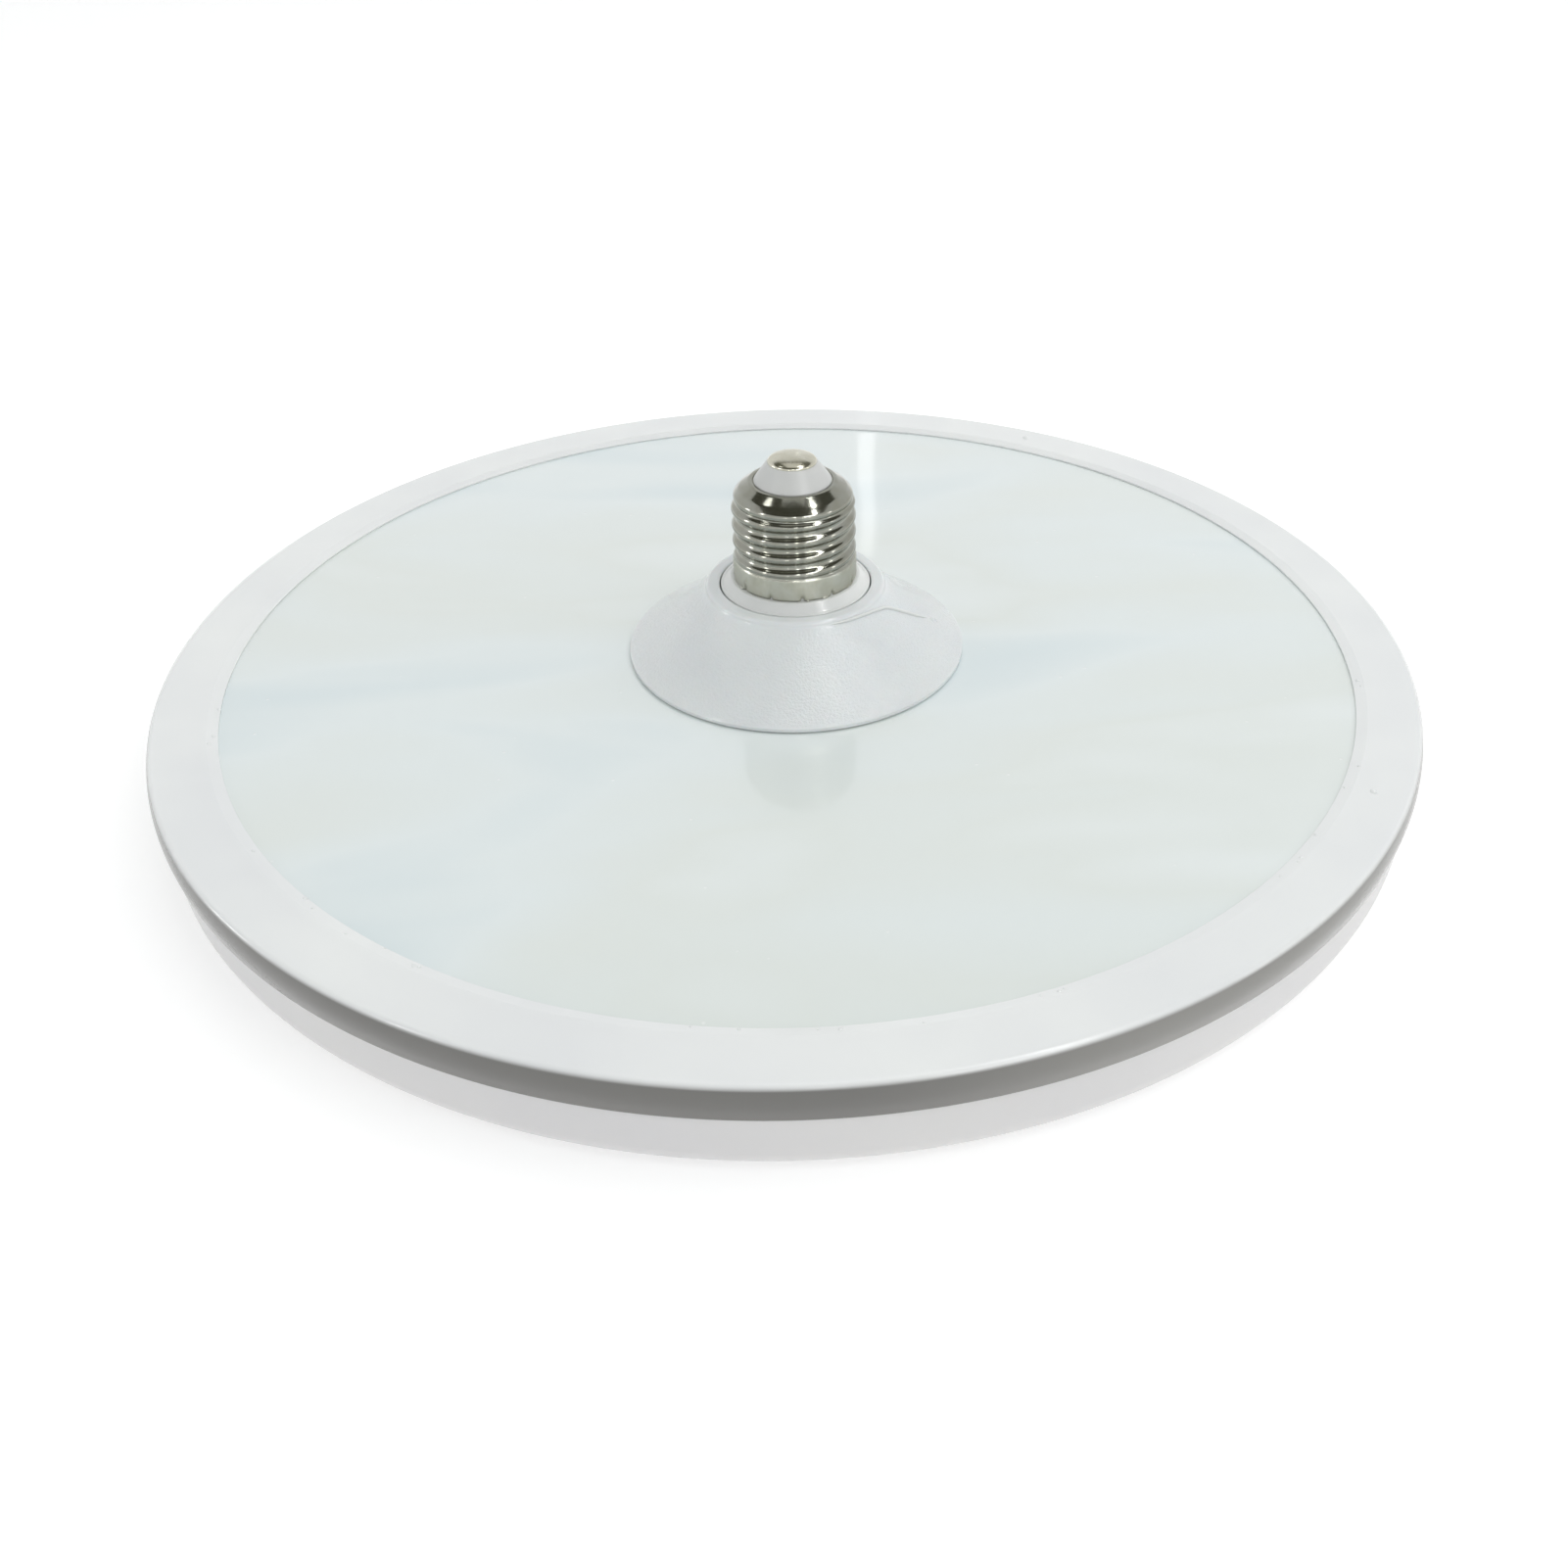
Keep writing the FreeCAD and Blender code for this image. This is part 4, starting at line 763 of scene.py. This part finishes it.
class LAMP_OT_cone(bpy.types.Operator):
    """Build the cone cover with its lip and moulding line, and finish the neck cup"""
    bl_idname = "disc_lamp.cone"
    bl_label = "Cone"

    def execute(self, context):
        s = context.scene.disc_lamp_cone
        low, high = (corner.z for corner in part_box("cone_cover"))
        foot, brow = low + s.foot_edge, high - s.lip_round
        bevel_in, bevel_up, edge = 0.55 * MM, 0.45 * MM, 0.2 * MM
        side = self.flare(s, foot, brow)
        lip_angle = np.linspace(0.15, 1, 8) * np.pi / 2
        lip = np.stack([s.lip_radius - s.lip_round * (1 - np.cos(lip_angle)),
                        brow + s.lip_round * np.sin(lip_angle)], 1)
        inner_side = side[::-12] + self.inward(side)[::-12] * s.wall
        inside = (inner_side[:, 0] > s.bore_radius) & (inner_side[:, 1] > low + 0.1 * MM)
        inner_side = inner_side[inside]
        outline = np.concatenate([
            [(s.foot_radius - s.wall, low), (s.foot_radius - bevel_in, low),
             (s.foot_radius, low + bevel_up)],
            side, lip,
            [(s.bore_radius + edge, high), (s.bore_radius, high - edge),
             (s.bore_radius, high - 3.0 * MM)],
            inner_side,
        ])
        points = turned(divided(outline, 0.4 * MM), columns=640)
        points[..., 2] += self.nick(s, points)
        piece = surface("cone_cover_skin", points)
        grained = grained_cone_abs((*s.colour, 1.0), foot + 0.2 * MM, brow)
        finish_piece(piece, "cone_cover", grained)
        white = gloss_plastic("gloss_white_abs", srgb("#E4E6E4"), 0.16, 2.0)
        dress("neck_cup", white)
        self.collar(s, white)
        self.seam(s, side, white)
        return {"FINISHED"}

    def collar(self, s, material):
        """A thin skin on the neck cup's collar with a rounded bead at its foot, turned about Z."""
        cap_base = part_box("screw_shell")[0].z
        foot, outside, inside = 34.8 * MM, 16.13 * MM, 13.6 * MM
        outline = rounded([
            (outside - 1.0 * MM, foot - 0.6 * MM, 0.02 * MM),
            (outside, foot - 0.6 * MM, 0.02 * MM),
            (outside, foot + 0.45 * MM, 0.3 * MM),
            (outside - 0.55 * MM, foot + 0.45 * MM, 0.15 * MM),
            (inside + 0.3 * MM, cap_base + 0.05 * MM, 0.25 * MM),
            (inside - 0.3 * MM, cap_base + 0.05 * MM, 0.02 * MM),
            (inside - 0.3 * MM, cap_base - 0.5 * MM, 0.02 * MM),
        ])
        skin = surface("collar_skin", turned(divided(outline, 0.4 * MM), columns=240))
        attach(skin, material)

    def flare(self, s, foot, brow):
        """Points of the hollow side: an arc of the flare radius from foot to brow."""
        start, end = np.array([s.foot_radius, foot]), np.array([s.lip_radius, brow])
        chord = end - start
        reach = np.linalg.norm(chord)
        left = np.array([-chord[1], chord[0]]) / reach
        centre = (start + end) / 2 - left * math.sqrt(s.flare_radius ** 2 - reach ** 2 / 4)
        first, last = (math.atan2(*(p - centre)[::-1]) for p in (start, end))
        swept = np.linspace(first, last, 60)
        return centre + s.flare_radius * np.stack([np.cos(swept), np.sin(swept)], 1)

    def inward(self, side):
        """Unit normals of the side that point into the cone."""
        along = np.gradient(side, axis=0)
        normal = np.stack([-along[:, 1], along[:, 0]], 1)
        return normal / np.linalg.norm(normal, axis=1, keepdims=True)

    def nick(self, s, points):
        """The sprue's nick: a small knob and a pit beside it, each falling as exp(-distance^2)."""
        radius = np.hypot(points[..., 0], points[..., 1])
        around = np.arctan2(points[..., 1], points[..., 0])
        knob = np.hypot((around - math.radians(-0.6)) * radius, radius - 30.2 * MM) / (0.55 * MM)
        pit = np.hypot((around - math.radians(1.6)) * radius, radius - 30.7 * MM) / (0.45 * MM)
        return 0.4 * MM * np.exp(-knob ** 2) - 0.35 * MM * np.exp(-pit ** 2)

    def seam(self, s, side, material):
        """A fine ridge that leaves the lip's foot and curls down the right side.

        Its radius grows with the angle; the section is an ellipse swept along that path on the
        hollow side, and it shrinks to a point at both ends."""
        angles = np.radians([-75, -60, -50, -36, -24.6, -18, -11.6, -6.5, -0.9])
        radii = np.array([19.5, 19.55, 19.6, 20.0, 20.8, 22.3, 24.4, 26.7, 29.4]) * MM
        around = np.linspace(angles[0], angles[-1], 200)
        radius = np.pad(np.interp(around, angles, radii), 8, "edge")
        radius = np.convolve(radius, np.ones(17) / 17, "valid")
        up, rising = side[::-1], -self.inward(side)[::-1]
        height = np.interp(radius, up[:, 0], up[:, 1])
        out = np.interp(radius, up[:, 0], rising[:, 0])
        lift = np.interp(radius, up[:, 0], rising[:, 1])
        path = np.stack([radius * np.cos(around), radius * np.sin(around), height], 1)
        normal = np.stack([out * np.cos(around), out * np.sin(around), lift], 1)
        across = np.cross(normal, np.gradient(path, axis=0))
        across /= np.linalg.norm(across, axis=1, keepdims=True)
        share = np.linspace(0, 1, 200)
        swell = (smooth_step(share, 0, 0.3) * (1 - smooth_step(share, 0.9, 1)))[None, :, None]
        ring = np.linspace(0, 2 * np.pi, 12, endpoint=False)[:, None, None]
        grid = path[None] + swell * (
            s.seam_width / 2 * np.cos(ring) * across[None]
            + s.seam_depth * np.sin(ring) * normal[None])
        attach(surface("cone_seam_ridge", grid, wrap_rows=False), material)


class LAMP_OT_cap(bpy.types.Operator):
    """Build the screw shell, the insulator and the centre contact"""
    bl_idname = "disc_lamp.cap"
    bl_label = "Screw cap"

    def execute(self, context):
        s = context.scene.disc_lamp_cap
        nickel = plated_nickel(
            "bright_nickel_on_brass", (*s.metal_colour, 1.0), s.base + s.skirt_height)
        shell = surface("screw_cap_shell", self.shell(s))
        finish_piece(shell, "screw_shell", nickel)
        self.burrs(s, nickel)
        self.insulator(s)
        self.contact(
            s, plated_nickel("bright_nickel_contact", (*s.contact_colour, 1.0), s.base, 0.13))
        return {"FINISHED"}

    def thread(self, s, around, height):
        """How far the thread stands out of its root.

        The phase is the height above the nearest crest, which rises by the pitch in a turn. Crest
        and root are arcs of one radius that touch: depth minus the fall of the crest's arc up to a
        quarter pitch away, and the rise of the root's arc beyond."""
        bend = (s.thread_depth ** 2 + s.pitch ** 2 / 4) / (4 * s.thread_depth)
        turn = (height - s.base - s.first_crest) / s.pitch - around / (2 * np.pi)
        away = np.abs(turn - np.round(turn)) * s.pitch
        crest = s.thread_depth - bend + np.sqrt(np.maximum(bend ** 2 - away ** 2, 0))
        root = bend - np.sqrt(np.maximum(bend ** 2 - (s.pitch / 2 - away) ** 2, 0))
        return np.where(away < s.pitch / 4, crest, root)

    def shell(self, s):
        """Outer skin from mouth to skirt edge and back up inside, as points (angle, stretch, 3).

        Its radius is the plain barrel, plus the thread where it isn't faded out, less the crimp,
        and is kept at the skirt's radius on the skirt."""
        columns, rows = 480, 128
        around = np.linspace(0, 2 * np.pi, columns, endpoint=False)[:, None]
        root = s.crest_radius - s.thread_depth
        skirt_top = s.base + s.skirt_height
        dome = self.shoulder(s)
        neck, shoulder = dome[-1]
        height = np.linspace(shoulder - 0.06 * MM, s.base + 0.12 * MM, rows)
        outer = np.concatenate([dome[:, 1], height])[None]
        barrel = root + (neck - root) * smooth_step(height, shoulder - 0.7 * MM, shoulder)
        plain = np.concatenate([dome[:, 0], barrel])[None]
        full_thread = skirt_top + 1.5 * MM
        window = smooth_step(outer, skirt_top - 0.2 * MM, full_thread)
        window = window * (1 - smooth_step(outer, shoulder - 1.2 * MM, shoulder - 0.1 * MM))
        tooth = self.thread(s, around, outer) * window
        radius = plain + tooth
        skirt = 1 - smooth_step(outer, skirt_top + 0.1 * MM, full_thread)
        radius = np.maximum(radius, s.skirt_radius * skirt + radius * (1 - skirt))
        radius = radius - self.crimp(s, around, outer)
        outer = np.broadcast_to(outer, radius.shape)
        inner_radius = np.minimum(radius - s.sheet, s.skirt_radius - s.sheet)[:, ::-4]
        inner_height = np.minimum(outer[:, ::-4], s.top - s.sheet)
        edge_radius = radius[:, -1:] - np.array([[0.5, 1.0]]) * s.sheet
        edge_height = np.full((columns, 2), s.base)
        edge_height[:, 0] = s.base + 0.02 * MM
        radius = np.concatenate([radius, edge_radius, inner_radius], 1)
        height = np.concatenate([outer, edge_height, inner_height], 1)
        return np.stack([radius * np.cos(around), radius * np.sin(around), height], -1)

    def shoulder(self, s):
        """Points of the shoulder from the mouth down to its turn under the widest part."""
        level = s.base + s.shoulder_level
        return rounded([
            (s.mouth_radius, s.top - 1.4 * MM, 0),
            (s.mouth_radius, s.top, 0.35 * MM),
            (s.mouth_radius + 1.0 * MM, s.top - 0.15 * MM, 1.0 * MM),
            (s.mouth_radius + 3.0 * MM, s.top - 1.55 * MM, 2.5 * MM),
            (s.shoulder_radius + 0.07 * MM, level + 0.45 * MM, 0.9 * MM),
            (s.shoulder_radius - 0.55 * MM, level - 0.7 * MM, 0),
        ])[7:-7]

    def crimp(self, s, around, height):
        """How far the skirt is pressed in: an oval pit at each punch, exp(-distance^2), and an
        edge that is rolled in over its last half millimetre."""
        step = 2 * np.pi / s.crimps
        away = (around - s.crimp_angle + step / 2) % step - step / 2
        which = np.round((around - s.crimp_angle) / step).astype(int) % s.crimps
        random = np.random.default_rng(3)
        smallest, largest = [[0.28], [0.7], [0.6]], [[0.45], [1.4], [1.1]]
        wide, tall, deep = random.uniform(smallest, largest, (3, s.crimps)) * MM
        distance = np.hypot(away * s.skirt_radius / wide[which], (height - s.base) / tall[which])
        rolled = 0.22 * MM * (1 - smooth_step(height, s.base, s.base + 0.5 * MM))
        return deep[which] * np.exp(-distance ** 2) + rolled

    def burrs(self, s, material):
        """Bright burrs at the skirt's foot: ellipsoids, x^2/a^2 + y^2/b^2 + z^2/b^2 = 1."""
        around = np.radians([-150.0, -79.0, -62.0, -33.0, -26.0])[:, None, None]
        half_sizes = np.array([[0.7, 0.3, 0.75, 0.5, 0.9], [0.25, 0.35, 0.25, 0.2, 0.22]])
        wide, tall = half_sizes[:, :, None, None] * MM
        turn = np.linspace(0, 2 * np.pi, 16, endpoint=False)[None, :, None]
        rise = np.linspace(-1, 1, 9)[None, None, :] * np.pi / 2
        along = wide * np.cos(turn) * np.cos(rise)
        out = s.skirt_radius - 0.1 * MM + tall * np.sin(turn) * np.cos(rise)
        height = s.base + 0.25 * MM + tall * np.sin(rise) + 0 * turn
        points = np.stack(np.broadcast_arrays(
            out * np.cos(around) - along * np.sin(around),
            out * np.sin(around) + along * np.cos(around), height), -1)
        attach(clustered("crimp_burrs", points, wrap_rows=False), material)

    def insulator(self, s):
        """Truncated cone with softened edges and a flange inside the shell."""
        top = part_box("cap_insulator")[1].z
        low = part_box("cap_insulator")[0].z
        bore, tip, body, flange = 1.7 * MM, 5.3 * MM, 8.15 * MM, 10.0 * MM
        outline = rounded([
            (bore, low, 0.05 * MM),
            (flange, low, 0.2 * MM),
            (flange, s.top - 1.6 * MM, 0.2 * MM),
            (body, s.top - 0.6 * MM, 0.1 * MM),
            (body, s.top, 0.35 * MM),
            (tip, top, 0.3 * MM),
            (bore, top, 0.05 * MM),
        ])
        piece = surface("insulator_cone", turned(divided(outline, 0.6 * MM), columns=192))
        material = gloss_plastic(
            "moulded_grey_pbt", (*s.insulator_colour, 1.0), 0.32, 0.8, strength=0.06)
        finish_piece(piece, "cap_insulator", material)

    def contact(self, s, material):
        """Domed button on a stem: the dome is half an ellipse, its height h sqrt(1 - (r / R)^2)."""
        low, high = (corner.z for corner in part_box("centre_contact"))
        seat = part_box("cap_insulator")[1].z
        rim, stem, edge = 5.15 * MM, 1.6 * MM, 0.1 * MM
        tilt = np.linspace(0.002, 1, 30) * np.pi / 2
        dome = np.stack([rim * np.sin(tilt), seat + edge + (high - seat - edge) * np.cos(tilt)], 1)
        outline = np.concatenate([
            dome, [(rim - 0.05 * MM, seat), (stem, seat), (stem, low), (0.01 * MM, low)]])
        piece = surface("contact_button", turned(divided(outline, 0.5 * MM), columns=128))
        finish_piece(piece, "centre_contact", material)


class LAMP_OT_inside(bpy.types.Operator):
    """Give the boards, parts, screws and wires inside their finishes"""
    bl_idname = "disc_lamp.inside"
    bl_label = "Inside"

    def execute(self, context):
        # Surface, colour, roughness, grain in millimetres, darker tone and depth of the grain
        plastics = {
            "led_board": ("white_solder_mask_on_aluminium", "#F0F0EE", 0.35, 1.5),
            "led_chips": ("yellow_phosphor_silicone", "#F0D264", 0.45, 0.5, "#D8D8D0"),
            "driver_board": ("green_masked_glass_laminate", "#2A6B45", 0.3, 1.2, "#D5E5D5"),
            "bulk_capacitor": ("black_shrunk_pvc_sleeve", "#1B1B1E", 0.25, 1.5, "#C8C8C8"),
            "choke": ("shrink_sleeve_on_ferrite", "#242323", 0.4, 1.0, "#C8C8C8"),
            "varistor": ("dipped_blue_epoxy", "#244C86", 0.3, 1.6, "#D0D8E8", 0.3),
            "fuse_resistor": ("dipped_green_lacquer", "#7F9C86", 0.35, 1.0, "#D8E0D8"),
            "driver_chip": ("moulded_black_epoxy", "#161616", 0.5, 0.3, "#D0D0D0", 0.2),
            "lead_connector": ("moulded_ivory_nylon", "#ECE9DE", 0.35, 0.8),
            "positive_lead": ("red_extruded_silicone", "#B2201B", 0.4, 1.0, "#E0D0D0"),
            "negative_lead": ("black_extruded_silicone", "#1C1C1C", 0.4, 1.0, "#D0D0D0"),
        }
        finishes = {node: gloss_plastic(name, srgb(code), *finish)
                    for node, (name, code, *finish) in plastics.items()}
        finishes["bridge_rectifier"] = finishes["driver_chip"]
        zinc = metal("zinc_plated_steel", "#B9BCC0", 0.28, 0.7)
        tin = metal("tinned_copper_wire", "#C9C9C6", 0.25, 0.8)
        finishes.update(cup_screws=zinc, cone_screws=zinc, live_wire=tin, neutral_wire=tin)
        for node, material in finishes.items():
            dress(node, material)
        return {"FINISHED"}


class LAMP_PT_panel(bpy.types.Panel):
    """Lists the lamp's operators and sizes"""
    bl_idname = "LAMP_PT_panel"
    bl_label = "Disc Lamp"
    bl_space_type = "VIEW_3D"
    bl_region_type = "UI"
    bl_category = "Disc Lamp"

    def draw(self, context):
        for operator in OPERATORS:
            self.layout.operator(operator.bl_idname)
        for name in GROUPS:
            box = self.layout.box()
            settings = getattr(context.scene, name)
            for key in settings.bl_rna.properties.keys():
                if key not in ("rna_type", "name"):
                    box.prop(settings, key)


OPERATORS = (LAMP_OT_stage, LAMP_OT_disc, LAMP_OT_cone, LAMP_OT_cap, LAMP_OT_inside)
GROUPS = {
    "disc_lamp_disc": DiscSizes,
    "disc_lamp_cone": ConeSizes,
    "disc_lamp_cap": CapSizes,
    "disc_lamp_stage": StageSettings,
}


def register():
    for item in (*GROUPS.values(), *OPERATORS, LAMP_PT_panel):
        bpy.utils.register_class(item)
    for name, group in GROUPS.items():
        setattr(bpy.types.Scene, name, bpy.props.PointerProperty(type=group))


def unregister():
    for name in GROUPS:
        delattr(bpy.types.Scene, name)
    for item in reversed((*GROUPS.values(), *OPERATORS, LAMP_PT_panel)):
        bpy.utils.unregister_class(item)


def main():
    register()
    bpy.ops.disc_lamp.stage()
    bpy.ops.disc_lamp.disc()
    bpy.ops.disc_lamp.cone()
    bpy.ops.disc_lamp.cap()
    bpy.ops.disc_lamp.inside()


if __name__ == "__main__":
    main()
